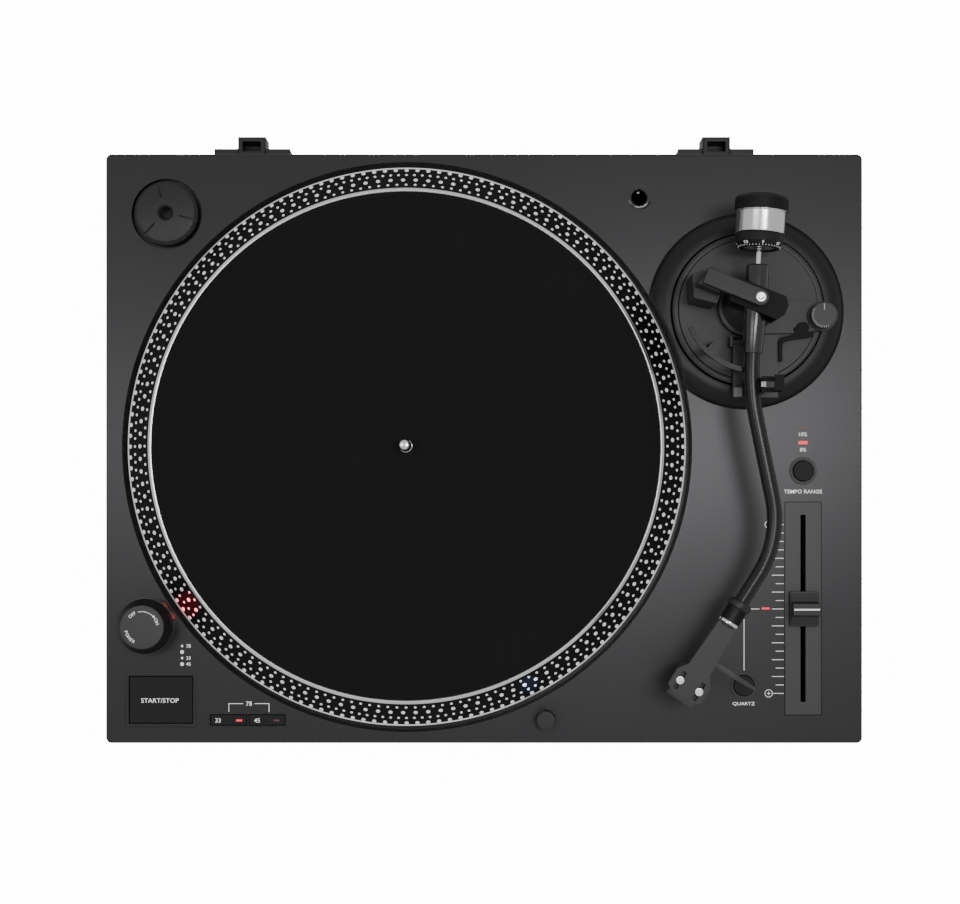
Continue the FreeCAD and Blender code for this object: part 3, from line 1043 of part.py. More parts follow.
def weight_sleeve():
    save("weight_sleeve", along_arm([(ROD_R + SHAFT_FIT, -WEIGHT_FRONT - WEIGHT_L + 2.0),
                                     (THREAD_R, -WEIGHT_FRONT - WEIGHT_L + 2.0), (THREAD_R, -WEIGHT_FRONT - 0.5),
                                     (ROD_R + SHAFT_FIT, -WEIGHT_FRONT - 0.5)]))


def counterweight():
    """Weight that turns on its threaded sleeve, with a nose that carries the pressure dial."""
    front, mid = -WEIGHT_FRONT - 0.6, -WEIGHT_FRONT - DIAL_L - RUN
    rear = mid - WEIGHT_BODY_L
    end = rear - WEIGHT_REAR_L
    outline = [(WEIGHT_BORE_R, front), (NOSE_R, front), (NOSE_R, mid), (WEIGHT_R - 0.5, mid),
               (WEIGHT_R, mid - 0.5), (WEIGHT_R, rear), (WEIGHT_REAR_R, rear), (WEIGHT_REAR_R, end + 2.0),
               (WEIGHT_REAR_R - 1.5, end), (WEIGHT_BORE_R, end)]
    save("counterweight", along_arm(outline))


def pressure_dial():
    front, rear = -WEIGHT_FRONT, -WEIGHT_FRONT - DIAL_L
    outline = [(NOSE_R + SHAFT_FIT, front), (DIAL_R - 2.4, front), (DIAL_R, front - 3.4), (DIAL_R, rear),
               (NOSE_R + SHAFT_FIT, rear)]
    save("pressure_dial", along_arm(outline))


# ---- Headshell ------------------------------------------------------------------------------------
def headshell():
    half_r, half_f = SHELL_REAR_W / 2, SHELL_FRONT_W / 2
    outline = [(0.0, -half_r), (SHOULDER_AT, -half_r - 1.4), (SHOULDER_AT + 6.0, -half_f),
               (SHELL_L - 3.0, -half_f), (SHELL_L, -half_f + 4.0), (SHELL_L, half_f - 4.0),
               (SHELL_L - 3.0, half_f), (SHOULDER_AT + 6.0, half_f), (SHOULDER_AT, half_r + 1.4), (0.0, half_r)]
    plate = prism(outline, SHELL_Z, SHELL_Z + SHELL_T)
    slots = [centred_box(SCREWS_AT, y, SCREW_SLOT_L, SCREW_SLOT_W, SHELL_Z - 1.0, SHELL_Z + SHELL_T + 1.0)
             for y in (-SCREW_PITCH / 2, SCREW_PITCH / 2)]
    neck = box(0.0, 9.0, -half_r, half_r, ARM_Z - 4.6, SHELL_Z)
    body = on_shell(fuse([plate, neck]).cut(Part.makeCompound(slots)))
    shank = shell_ring([(0, -SHANK_L), (SHANK_R - 0.5, -SHANK_L), (SHANK_R, -SHANK_L + 0.5), (SHANK_R, 0.5),
                        (0, 0.5)])
    save("headshell", body.fuse(shank).removeSplitter())


def finger_lift():
    """Thin tapered blade beside the shell, bent up a little at its end."""
    side = SHELL_REAR_W / 2 + FINGER_SEAT
    profile = [(side - 5.0, SHELL_Z - 1.2), (side + 10.0, SHELL_Z - 1.2), (side + FINGER_L, SHELL_Z + 5.0),
               (side + FINGER_L, SHELL_Z + 6.2), (side + 9.6, SHELL_Z), (side - 5.0, SHELL_Z)]
    face = Part.Face(Part.makePolygon([Vector(FINGER_AT - 1.5, y, z) for y, z in profile + profile[:1]]))
    blade = face.extrude(Vector(3.0, 0, 0))
    taper = prism([(FINGER_AT - 2.2, side - 6.0), (FINGER_AT + 2.2, side - 6.0), (FINGER_AT + 2.2, side),
                   (FINGER_AT + 0.9, side + FINGER_L + 1.0), (FINGER_AT - 0.9, side + FINGER_L + 1.0),
                   (FINGER_AT - 2.2, side)], SHELL_Z - 5.0, SHELL_Z + 10.0)
    save("finger_lift", on_shell(blade.common(taper)))


def cartridge_screws():
    screws = []
    top = SHELL_Z + SHELL_T
    for y in (-SCREW_PITCH / 2, SCREW_PITCH / 2):
        head = disc(SCREWS_AT, y, CARTRIDGE_SCREW_HEAD_R, top, top + CARTRIDGE_SCREW_HEAD_H)
        shank = disc(SCREWS_AT, y, CARTRIDGE_SCREW_R, SHELL_Z - CARTRIDGE_SCREW_IN, top)
        screws.append(on_shell(head.fuse(shank).removeSplitter()))
    save("cartridge_screws", *screws)


def cartridge():
    top = SHELL_Z
    half = CARTRIDGE_W / 2
    side = [(CARTRIDGE_FROM + 2.2, top), (CARTRIDGE_TO - 3.0, top), (CARTRIDGE_TO, top - 4.0),
            (CARTRIDGE_TO, CARTRIDGE_BOTTOM + 5.0), (CARTRIDGE_TO - 5.0, CARTRIDGE_BOTTOM),
            (CARTRIDGE_FROM + 4.0, CARTRIDGE_BOTTOM), (CARTRIDGE_FROM + 2.2, CARTRIDGE_BOTTOM + 4.0)]
    face = Part.Face(Part.makePolygon([Vector(x, -half, z) for x, z in side + side[:1]]))
    body = face.extrude(Vector(0, CARTRIDGE_W, 0))
    holes = [disc(SCREWS_AT, y, CARTRIDGE_SCREW_R, top - CARTRIDGE_SCREW_IN, top) for y in (-SCREW_PITCH / 2, SCREW_PITCH / 2)]
    save("cartridge", on_shell(body.cut(Part.makeCompound(holes))))


def stylus():
    """Replaceable stylus: a small block under the cartridge, the cantilever and the tip."""
    block = box(CARTRIDGE_FROM + 8.0, CARTRIDGE_TO - 7.0, -4.0, 4.0, CARTRIDGE_BOTTOM - 3.0, CARTRIDGE_BOTTOM)
    z = CARTRIDGE_BOTTOM - 2.2
    x0 = CARTRIDGE_TO - 8.0
    arm = Vector(STYLUS_AT + 0.4 - x0, 0, RECORD_TOP + 1.0 - z)
    cantilever = rod(Vector(x0, 0, z), arm, 0.4, arm.Length)
    tip = Part.makeCone(0.05, 0.5, 1.2, Vector(STYLUS_AT, 0, RECORD_TOP))
    save("stylus", on_shell(fuse([block, cantilever, tip])))


def main():
    os.makedirs("parts", exist_ok=True)
    for make in (top_cover, base_tray, case_screws, feet, main_board, hinge_sockets, motor_housing,
                 bearing_bush, stator_coils, spindle_shaft, rotor_magnet, platter, slip_mat, adapter_45,
                 headshell_holder, button_collars, target_light, strobe_housing, power_knob,
                 control_bezels, buttons, indicator_lights, fader_plate, fader_knob, fader_body,
                 terminal_panel, rear_jacks, ground_terminal, selector_switch, arm_base_ring,
                 height_ring, arm_base_plate, cue_lever, height_lock_lever, anti_skate_dial,
                 arm_lifter, arm_rest, arm_clamp, bearing_bridge, pivot_screw, gimbal, arm_sleeve,
                 arm_tube, locking_collar, counterweight_rod, weight_sleeve, counterweight,
                 pressure_dial, headshell, finger_lift, cartridge_screws, cartridge, stylus):
        make()


if __name__ == "__main__":
    main()
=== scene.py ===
"""Looks of the turntable: finishes for the turned and moulded pieces, the dots, prints and lamps.

Sizes are in millimetres in deck coordinates, which start at the centre of the plinth's top
face: X to the right, Y to the rear, Z up. deck() turns them into metres in the frame.
"""
import json
import math

import bmesh
import bpy
from mathutils import Matrix, Vector

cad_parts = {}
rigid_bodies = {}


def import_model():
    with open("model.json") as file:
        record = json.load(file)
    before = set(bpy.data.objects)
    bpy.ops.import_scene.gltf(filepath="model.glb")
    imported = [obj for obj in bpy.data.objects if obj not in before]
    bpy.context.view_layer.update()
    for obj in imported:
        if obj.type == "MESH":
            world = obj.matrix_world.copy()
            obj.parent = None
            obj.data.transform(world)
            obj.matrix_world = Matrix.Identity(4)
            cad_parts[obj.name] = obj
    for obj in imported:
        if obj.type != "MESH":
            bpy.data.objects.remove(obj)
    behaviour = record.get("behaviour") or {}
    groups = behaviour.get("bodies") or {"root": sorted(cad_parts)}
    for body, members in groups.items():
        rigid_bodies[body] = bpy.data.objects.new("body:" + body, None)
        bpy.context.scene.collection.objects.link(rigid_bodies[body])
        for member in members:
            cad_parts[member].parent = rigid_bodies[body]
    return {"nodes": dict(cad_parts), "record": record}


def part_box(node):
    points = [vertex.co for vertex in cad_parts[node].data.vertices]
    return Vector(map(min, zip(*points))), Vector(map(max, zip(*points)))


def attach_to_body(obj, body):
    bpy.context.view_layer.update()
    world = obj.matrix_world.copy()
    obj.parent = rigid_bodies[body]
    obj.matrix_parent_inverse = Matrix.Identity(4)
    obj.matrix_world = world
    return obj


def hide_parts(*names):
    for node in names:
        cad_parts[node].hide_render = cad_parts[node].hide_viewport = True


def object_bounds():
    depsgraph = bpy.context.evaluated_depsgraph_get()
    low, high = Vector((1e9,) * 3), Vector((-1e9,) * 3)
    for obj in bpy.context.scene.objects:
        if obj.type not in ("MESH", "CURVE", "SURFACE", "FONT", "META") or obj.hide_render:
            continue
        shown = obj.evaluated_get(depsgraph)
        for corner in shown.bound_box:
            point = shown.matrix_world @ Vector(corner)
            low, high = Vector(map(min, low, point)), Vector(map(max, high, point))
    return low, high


MM = 0.001
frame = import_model()
cad_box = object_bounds()
NODES = frame["nodes"]
BODIES = frame["record"]["behaviour"]["bodies"]
BODY_OF = {node: body for body, members in BODIES.items() for node in members}

COVER_LOW, COVER_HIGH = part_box("top_cover")
DECK = Vector(((COVER_LOW.x + COVER_HIGH.x) / 2, (COVER_LOW.y + COVER_HIGH.y) / 2, COVER_HIGH.z))


def deck(x, y, z):
    return DECK + Vector((x, y, z)) * MM


def middle(node):
    """Centre of a CAD node's box, in millimetres from the deck's origin."""
    low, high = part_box(node)
    return ((low + high) / 2 - DECK) / MM


def bottom_of(node):
    return (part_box(node)[0].z - DECK.z) / MM


def top_of(node):
    return (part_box(node)[1].z - DECK.z) / MM


# ---- Node trees --------------------------------------------------------------------------
class Graph:
    """What material and geometry node trees share: adding a node and feeding its sockets."""

    def add(self, kind, **inputs):
        node = self.tree.nodes.new(kind)
        for key, value in inputs.items():
            self.feed(node.inputs[key.replace("_", " ")], value)
        return node

    def feed(self, socket, value):
        if isinstance(value, bpy.types.NodeSocket):
            self.tree.links.new(value, socket)
        else:
            socket.default_value = value

    def math(self, operation, a, b=0.0):
        node = self.add("ShaderNodeMath")
        node.operation = operation
        self.feed(node.inputs[0], a)
        self.feed(node.inputs[1], b)
        return node.outputs[0]


# ---- Materials --------------------------------------------------------------------------
WHITE = (1.0, 1.0, 1.0, 1.0)


class Nodes(Graph):
    """A material's node tree, with short names for what is used again and again."""

    def __init__(self, name):
        self.material = bpy.data.materials.new(name)
        self.material.use_nodes = True
        self.tree = self.material.node_tree
        self.shader = self.tree.nodes["Principled BSDF"]
        self.place = self.add("ShaderNodeTexCoord").outputs["Object"]

    def noise(self, scale, detail=3.0):
        node = self.add("ShaderNodeTexNoise", Scale=scale, Detail=detail, Vector=self.place)
        return node.outputs["Fac"]

    def between(self, value, low, high):
        node = self.add("ShaderNodeMapRange", Value=value)
        node.inputs["To Min"].default_value = low
        node.inputs["To Max"].default_value = high
        return node.outputs["Result"]

    def mix(self, factor, colour_a, colour_b):
        node = self.add("ShaderNodeMix")
        node.data_type = "RGBA"
        self.feed(node.inputs[0], factor)
        self.feed(node.inputs[6], as_colour(colour_a))
        self.feed(node.inputs[7], as_colour(colour_b))
        return node.outputs[2]

    def bump(self, height, strength, depth):
        """Fine relief; depth in millimetres."""
        node = self.add("ShaderNodeBump", Strength=strength, Distance=depth * MM, Height=height)
        self.feed(self.shader.inputs["Normal"], node.outputs["Normal"])

    def set(self, **values):
        for key, value in values.items():
            self.feed(self.shader.inputs[key.replace("_", " ")], as_colour(value))


def as_colour(value):
    if isinstance(value, tuple) and len(value) == 3:
        return (*value, 1.0)
    return value


def grey(value):
    return (value, value, value * 1.04)


def finish(name, colour, rough, metal=0.0, grain=900.0, depth=0.03, mottle=0.12, coat=0.0, glow=0.0,
           shine=0.5):
    """A painted, moulded or plated surface: uneven gloss, a slight mottle and a fine grain."""
    n = Nodes(name)
    spread = 0.06
    cloud = n.noise(35.0, 4.0)
    fine = n.noise(grain, 2.0)
    dark = tuple(c * (1 - mottle) for c in colour)
    light = tuple(c * (1 + mottle) for c in colour)
    n.set(Base_Color=n.mix(cloud, dark, light), Metallic=metal, Coat_Weight=coat, Coat_Roughness=0.15)
    # glow makes the surface shine by itself: painted light, as no piece with this finish is a lamp.
    n.set(Specular_IOR_Level=shine, Emission_Color=WHITE, Emission_Strength=glow)
    wear = n.math("MULTIPLY", n.math("ADD", cloud, fine), 0.5)
    n.set(Roughness=n.between(wear, rough - spread, rough + spread))
    n.bump(fine, 0.35, depth)
    return n.material


def distance_from(n, centre):
    """Distance from an upright axis through a point, in metres."""
    low = n.add("ShaderNodeVectorMath", Vector=n.place)
    low.operation = "SUBTRACT"
    low.inputs[1].default_value = centre
    flat = n.add("ShaderNodeVectorMath")
    flat.operation = "MULTIPLY"
    n.feed(flat.inputs[0], low.outputs[0])
    flat.inputs[1].default_value = (1.0, 1.0, 0.0)
    length = n.add("ShaderNodeVectorMath")
    length.operation = "LENGTH"
    n.feed(length.inputs[0], flat.outputs[0])
    return length.outputs["Value"]


def band(n, value, start, end):
    """1 between start and end, 0 outside, with a soft change over 0.3 mm."""
    soft = 0.15 * MM
    rise = n.add("ShaderNodeMapRange", Value=value)
    rise.inputs["From Min"].default_value = start - soft
    rise.inputs["From Max"].default_value = start + soft
    fall = n.add("ShaderNodeMapRange", Value=value)
    fall.inputs["From Min"].default_value = end - soft
    fall.inputs["From Max"].default_value = end + soft
    return n.math("MULTIPLY", rise.outputs["Result"], n.math("SUBTRACT", 1.0, fall.outputs["Result"]))


def lit(name, colour, strength):
    n = Nodes(name)
    glow = n.noise(400.0, 1.0)
    n.set(Base_Color=n.mix(glow, colour, tuple(min(1.0, c * 1.2 + 0.02) for c in colour)))
    n.set(Roughness=0.35, Emission_Color=as_colour(colour), Emission_Strength=strength)
    return n.material


def deck_paint():
    """Satin charcoal paint over die-cast metal."""
    n = Nodes("deck_paint")
    cloud = n.noise(6.0, 3.0)
    fine = n.noise(1400.0, 2.0)
    n.set(Base_Color=n.mix(cloud, (0.029, 0.029, 0.031), (0.035, 0.035, 0.0375)), Metallic=0.5)
    n.set(Roughness=n.between(fine, 0.28, 0.34))
    n.bump(fine, 0.25, 0.02)
    return n.material


SPINDLE = middle("platter")
PLATTER_R = 166.0
BAND_IN_R, BAND_OUT_R = 151.8, 165.4
BAND_OUT_Z = 4.0
PLATTER_TOP = 14.0
LIP_TOP = 15.5
LIP_IN_R = 149.4
# The lower edge is bright metal and also glows by itself: a painted highlight.
EDGE_IN_R, EDGE_OUT_R = 165.1, 167.2        # the bright lower edge, seen from above
TURNING_WAVES = 24000.0                     # radians per metre
MAT_WAVES = 4200.0


def platter_metal():
    """Black anodised casting with a bright turned lip, and a bright lower edge that also glows by
    itself: a painted highlight.
    """
    n = Nodes("platter_metal")
    radius = distance_from(n, deck(SPINDLE.x, SPINDLE.y, 0))
    lip = band(n, radius, LIP_IN_R * MM, BAND_IN_R * MM)
    edge = band(n, radius, EDGE_IN_R * MM, EDGE_OUT_R * MM)
    bright = n.math("MAXIMUM", lip, edge)
    turning = n.math("MULTIPLY", n.math("SINE", n.math("MULTIPLY", radius, TURNING_WAVES)), 0.5)
    n.set(Base_Color=n.mix(bright, (0.004, 0.004, 0.0044), (0.82, 0.82, 0.84)), Metallic=bright)
    wear = n.math("ADD", bright, n.math("MULTIPLY", n.noise(500.0), 0.3))
    n.set(Roughness=n.between(wear, 0.52, 0.28), Specular_IOR_Level=0.15)
    # The lower edge shines by itself: a painted highlight on metal that is no lamp.
    n.set(Emission_Color=WHITE, Emission_Strength=n.math("MULTIPLY", edge, 0.30))
    n.bump(turning, 0.12, 0.02)
    return n.material


def mat_rubber():
    """Thin black mat with fine rings pressed into it."""
    n = Nodes("mat_rubber")
    radius = distance_from(n, deck(SPINDLE.x, SPINDLE.y, 0))
    ring = n.math("SINE", n.math("MULTIPLY", radius, MAT_WAVES))
    fuzz = n.noise(2600.0, 3.0)
    n.set(Base_Color=n.mix(n.noise(14.0, 4.0), (0.0055, 0.0055, 0.0057), (0.0080, 0.0080, 0.0082)))
    n.set(Roughness=n.between(fuzz, 0.72, 0.92), Specular_IOR_Level=0.18)
    n.bump(n.math("ADD", n.math("MULTIPLY", ring, 0.6), fuzz), 0.35, 0.06)
    return n.material


def turned_metal(name, colour, rough, node, along):
    """Bright metal with turning marks round the piece's axis."""
    n = Nodes(name)
    centre = deck(*middle(node))
    mapping = n.add("ShaderNodeMapping", Vector=n.place, Location=-centre)
    dot = n.add("ShaderNodeVectorMath", Vector=mapping.outputs["Vector"])
    dot.operation = "DOT_PRODUCT"
    dot.inputs[1].default_value = along
    marks = n.math("SINE", n.math("MULTIPLY", dot.outputs["Value"], 16000.0))
    cloud = n.noise(120.0, 3.0)
    n.set(Base_Color=n.mix(cloud, tuple(c * 0.92 for c in colour), colour), Metallic=1.0)
    n.set(Roughness=n.between(cloud, rough * 0.8, rough * 1.25))
    n.bump(marks, 0.08, 0.01)
    return n.material


def moulded_grain(name, colour, rough):
    """Coarse leather-like grain of a large moulding or a rubber foot."""
    n = Nodes(name)
    cells = n.add("ShaderNodeTexVoronoi", Vector=n.place, Scale=900.0)
    cloud = n.noise(30.0, 3.0)
    n.set(Base_Color=n.mix(cloud, tuple(c * 0.85 for c in colour), tuple(c * 1.2 for c in colour)))
    n.set(Roughness=n.between(cloud, rough - 0.06, rough + 0.06))
    n.bump(cells.outputs["Distance"], 0.5, 0.08)
    return n.material


ARM_TILT = math.radians(3.5)
ARM_FRONT = Vector((-math.sin(ARM_TILT), -math.cos(ARM_TILT), 0))

PAINT = deck_paint()
PLATTER_METAL = platter_metal()
MAT_RUBBER = mat_rubber()
BASE_GRAIN = moulded_grain("base_grain", (0.016, 0.016, 0.017), 0.62)
FOOT_RUBBER = moulded_grain("foot_rubber", (0.011, 0.011, 0.011), 0.78)
SATIN_BLACK = finish("satin_black", grey(0.010), 0.42)
KEY_BLACK = finish("key_black", grey(0.007), 0.55, grain=1400.0, shine=0.3)
KNOB_GREY = finish("knob_grey", grey(0.050), 0.48, grain=1200.0, metal=0.3)
GLOSS_BLACK = finish("gloss_black", grey(0.008), 0.22, coat=0.5, depth=0.01)
BEZEL_BLACK = finish("bezel_black", grey(0.006), 0.36, depth=0.01)
RAIL_BLACK = finish("rail_black", grey(0.004), 0.30, shine=0.25)
MATT_BLACK = finish("matt_black", grey(0.006), 0.58, shine=0.2)
PIANO_BLACK = finish("piano_black", grey(0.006), 0.14, coat=0.9, depth=0.005)
BASE_RIM = finish("base_rim", grey(0.006), 0.40, depth=0.01, shine=0.35)
ARM_GREY = finish("arm_grey", grey(0.036), 0.44, metal=0.35, grain=1300.0)
BRIDGE_GREY = finish("bridge_grey", grey(0.018), 0.45, metal=0.2)
TUBE_BLACK = finish("tube_black", grey(0.007), 0.26, depth=0.01, shine=0.4)
SHELL_GREY = finish("shell_grey", grey(0.042), 0.42, metal=0.5, grain=1500.0)
FADER_GREY = finish("fader_grey", grey(0.050), 0.42, metal=0.3, grain=1500.0)
FADER_STEEL = finish("fader_steel", grey(0.015), 0.55, metal=0.8)
FADER_BLACK = finish("fader_black", grey(0.016), 0.45, grain=1400.0)
CARTRIDGE_BLACK = finish("cartridge_black", grey(0.012), 0.38)
STYLUS_GREY = finish("stylus_grey", grey(0.010), 0.40)
TIP_GREY = finish("tip_grey", grey(0.17), 0.45)
CHROME = turned_metal("weight_chrome", (0.80, 0.80, 0.82), 0.20, "counterweight", ARM_FRONT)
STEEL = finish("polished_steel", (0.80, 0.80, 0.82), 0.16, metal=1.0, mottle=0.04, depth=0.005)
BRIGHT_SCREW = finish("bright_screw", (0.90, 0.90, 0.90), 0.24, metal=1.0, mottle=0.03, depth=0.01)
DARK_STEEL = finish("dark_steel", grey(0.09), 0.38, metal=0.9, depth=0.01)
ZINC = finish("zinc_plate", (0.50, 0.50, 0.52), 0.36, metal=1.0, mottle=0.10)
DARK_BRASS = finish("dark_brass", (0.10, 0.08, 0.05), 0.40, metal=1.0, mottle=0.06)
BRASS = finish("turned_brass", (0.72, 0.52, 0.22), 0.26, metal=1.0, mottle=0.06)
COPPER = finish("enamelled_copper", (0.62, 0.22, 0.08), 0.34, metal=0.7)
FERRITE = finish("ferrite", grey(0.035), 0.68)
BOARD_GREEN = finish("board_green", (0.012, 0.085, 0.035), 0.40, coat=0.3)
# The dots shine a little by themselves (glow): a painted highlight, as they are no lamp.
DOT_SILVER = finish("dot_silver", (0.93, 0.93, 0.93), 0.34, metal=0.25, mottle=0.03, depth=0.005,
                    glow=0.2)
# White and grey print shine by themselves (glow): painted light, as print is no lamp.
PRINT_WHITE = finish("print_white", (0.80, 0.80, 0.80), 0.50, mottle=0.04, depth=0.005, glow=0.5)
PRINT_GREY = finish("print_grey", (0.45, 0.45, 0.46), 0.50, mottle=0.05, depth=0.005, glow=0.05)
RED_LIT = lit("red_lit", (1.0, 0.02, 0.06), 0.9)
RED_DIM = lit("red_dim", (0.4, 0.01, 0.02), 0.05)
UNLIT = lit("unlit_lens", (0.10, 0.03, 0.035), 0.0)


# ---- Building pieces --------------------------------------------------------------------
SHARP = math.radians(38)
UP = Vector((0, 0, 1))


def in_scene(name, data):
    thing = bpy.data.objects.new(name, data)
    bpy.context.scene.collection.objects.link(thing)
    return thing


def shade(bm):
    """Smooth faces, with a hard edge wherever the surface turns sharply."""
    for edge in bm.edges:
        edge.smooth = len(edge.link_faces) == 2 and edge.calc_face_angle(0.0) < SHARP
    for face in bm.faces:
        face.smooth = True


def mesh_from(bm, name):
    mesh = bpy.data.meshes.new(name)
    bm.to_mesh(mesh)
    bm.free()
    return mesh


def settle(bm, name, materials, node):
    """Turn a bmesh into a finished piece that stands for one CAD node, on its body."""
    bmesh.ops.remove_doubles(bm, verts=bm.verts, dist=0.000002)
    bmesh.ops.recalc_face_normals(bm, faces=bm.faces)
    shade(bm)
    return attach(name, mesh_from(bm, name), materials, node)


def attach(name, mesh, materials, node, stands_for=True):
    piece = in_scene(name, mesh)
    for material in materials:
        mesh.materials.append(material)
    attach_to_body(piece, BODY_OF[node])
    if stands_for:
        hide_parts(node)
    return piece


def baked(obj):
    """The object's mesh with its modifiers in it, as a plain mesh; the object itself is removed."""
    bpy.context.view_layer.update()
    graph = bpy.context.evaluated_depsgraph_get()
    mesh = bpy.data.meshes.new_from_object(obj.evaluated_get(graph))
    bpy.data.objects.remove(obj)
    return mesh


def refined(node, material, edge):
    """The CAD shape with its small edges rounded, and shaded smooth."""
    bm = bmesh.new()
    bm.from_mesh(NODES[node].data)
    bmesh.ops.remove_doubles(bm, verts=bm.verts, dist=0.000002)
    bmesh.ops.dissolve_limit(bm, angle_limit=math.radians(0.3), verts=bm.verts, edges=bm.edges)
    bmesh.ops.recalc_face_normals(bm, faces=bm.faces)
    corners = [e for e in bm.edges if len(e.link_faces) == 2 and e.calc_face_angle(0.0) > SHARP]
    if corners:
        bmesh.ops.bevel(bm, geom=corners, offset=edge * MM, offset_type="OFFSET", segments=2,
                        profile=0.6, affect="EDGES", clamp_overlap=True)
    bmesh.ops.triangulate(bm, faces=[f for f in bm.faces if len(f.verts) > 4])
    shade(bm)
    holder = in_scene("holder", mesh_from(bm, node + "_look"))
    weighted = holder.modifiers.new("weighted", "WEIGHTED_NORMAL")
    weighted.keep_sharp = True
    return attach(node + "_look", baked(holder), [material], node)


def rounded(outline, radius, steps=3):
    """The same closed outline with an arc at each corner."""
    points = [Vector(p) for p in outline]
    result = []
    for i, corner in enumerate(points):
        before = points[i - 1] - corner
        after = points[(i + 1) % len(points)] - corner
        turn = math.pi - before.angle(after)
        if turn < math.radians(12) or corner.x < 0.01:
            result.append(corner)
            continue
        reach = min(radius * math.tan(turn / 2), before.length * 0.45, after.length * 0.45)
        start, end = corner + before.normalized() * reach, corner + after.normalized() * reach
        for step in range(steps + 1):
            t = step / steps
            result.append(start * (1 - t) ** 2 + corner * 2 * t * (1 - t) + end * t ** 2)
    return result


def lathe(outline, at, along=UP, steps=96, edge=0.25, bm=None):
    """Turn a closed (radius, distance) outline about an axis through a deck point."""
    bm = bm or bmesh.new()
    to_axis = along.normalized().to_track_quat("Z", "X")
    origin = deck(*at)
    shape = rounded(outline, edge) if edge else [Vector(p) for p in outline]
    rings = []
    for step in range(steps):
        angle = 2 * math.pi * step / steps
        out = Vector((math.cos(angle), math.sin(angle), 0))
        rings.append([bm.verts.new(origin + to_axis @ (out * p.x + Vector((0, 0, p.y))) * MM)
                      for p in shape])
    for i, ring in enumerate(rings):
        following = rings[(i + 1) % steps]
        for j in range(len(shape)):
            k = (j + 1) % len(shape)
            bm.faces.new((ring[j], following[j], following[k], ring[k]))
    bmesh.ops.remove_doubles(bm, verts=bm.verts, dist=0.000001)
    return bm


def turned_piece(node, outline, at, material, along=UP, steps=96, edge=0.25):
    """A lathed piece that stands for a CAD node."""
    bm = lathe(outline, at, along, steps, edge)
    return settle(bm, node + "_look", [material], node)


def swept(path, radius, steps):
    """A round tube along a level path of deck points."""
    bm = bmesh.new()
    angles = [2 * math.pi * s / steps for s in range(steps)]
    rings = []
    for i, point in enumerate(path):
        ahead = path[min(i + 1, len(path) - 1)] - path[max(i - 1, 0)]
        side = ahead.cross(UP).normalized()
        ring = [point + side * radius * math.cos(a) + UP * radius * math.sin(a) for a in angles]
        rings.append([bm.verts.new(deck(*spot)) for spot in ring])
    for ring, following in zip(rings, rings[1:]):
        for j in range(steps):
            k = (j + 1) % steps
            bm.faces.new((ring[j], following[j], following[k], ring[k]))
    bm.faces.new(rings[0])
    bm.faces.new(rings[-1])
    return bm


# ---- Pieces whose CAD shape is kept, with softened edges ---------------------------------
PLAIN = [
    ("top_cover", PAINT, 0.5), ("base_tray", BASE_GRAIN, 0.4), ("case_screws", DARK_STEEL, 0.15),
    ("main_board", BOARD_GREEN, 0.1), ("hinge_sockets", SATIN_BLACK, 0.4),
    ("motor_housing", ZINC, 0.3), ("bearing_bush", BRASS, 0.15), ("stator_coils", COPPER, 0.4),
    ("spindle_shaft", STEEL, 0.3), ("rotor_magnet", FERRITE, 0.3),
    ("headshell_holder", PIANO_BLACK, 0.3), ("button_collars", SATIN_BLACK, 0.3),
    ("target_light", SATIN_BLACK, 0.4), ("strobe_housing", GLOSS_BLACK, 0.4),
    ("control_bezels", BEZEL_BLACK, 0.3), ("start_stop_button", KEY_BLACK, 0.35),
    ("button_33", KEY_BLACK, 0.25), ("button_45", KEY_BLACK, 0.25),
    ("quartz_button", KEY_BLACK, 0.4), ("tempo_range_button", KEY_BLACK, 0.4),
    ("fader_plate", FADER_GREY, 0.3), ("fader_knob", FADER_BLACK, 0.5),
    ("fader_body", FADER_STEEL, 0.3),
    ("terminal_panel", SATIN_BLACK, 0.3), ("rear_jacks", BRASS, 0.15),
    ("ground_terminal", STEEL, 0.2), ("selector_switch", KEY_BLACK, 0.3),
    ("arm_base_plate", ARM_GREY, 0.25), ("cue_lever", SATIN_BLACK, 0.4),
    ("height_lock_lever", MATT_BLACK, 0.3), ("anti_skate_dial", KNOB_GREY, 0.3),
    ("arm_lifter", RAIL_BLACK, 0.3), ("arm_rest", GLOSS_BLACK, 0.3), ("arm_clamp", MATT_BLACK, 0.4),
    ("bearing_bridge", BRIDGE_GREY, 0.4), ("pivot_screw", BRIGHT_SCREW, 0.25),
    ("gimbal", MATT_BLACK, 0.35), ("counterweight_rod", STEEL, 0.2),
    ("weight_sleeve", DARK_BRASS, 0.15),
    ("headshell", SHELL_GREY, 0.35), ("finger_lift", SHELL_GREY, 0.25),
    ("cartridge_screws", BRIGHT_SCREW, 0.2), ("cartridge", CARTRIDGE_BLACK, 0.35),
    ("stylus", STYLUS_GREY, 0.15), ("foot_front_left", FOOT_RUBBER, 0.8),
    ("foot_front_right", FOOT_RUBBER, 0.8), ("foot_rear_left", FOOT_RUBBER, 0.8),
    ("foot_rear_right", FOOT_RUBBER, 0.8),
]

for node, material, edge in PLAIN:
    refined(node, material, edge)


# ---- Turned pieces ---------------------------------------------------------------------
MAT_TOP = top_of("slip_mat")
MAT_R = 149.2
MAT_GAP = 0.2
MAT_HOLE_R = 4.0
MAT_GROOVE = 0.35
MAT_LABEL_R = 50.0
PLATTER_AT = (SPINDLE.x, SPINDLE.y, 0)
PLATTER_HOLE_R = 5.0
PLATE = 5.0                       # thickness of the platter's disc
SKIRT = 6.0                       # thickness of its rim
BAND_TOP_Z = LIP_TOP - 0.9        # top of the dotted band
HUB_R = 24.0
RIB_RADII = (80.0, 120.0)
RIB = 3.0
RIB_DEPTH = 4.0


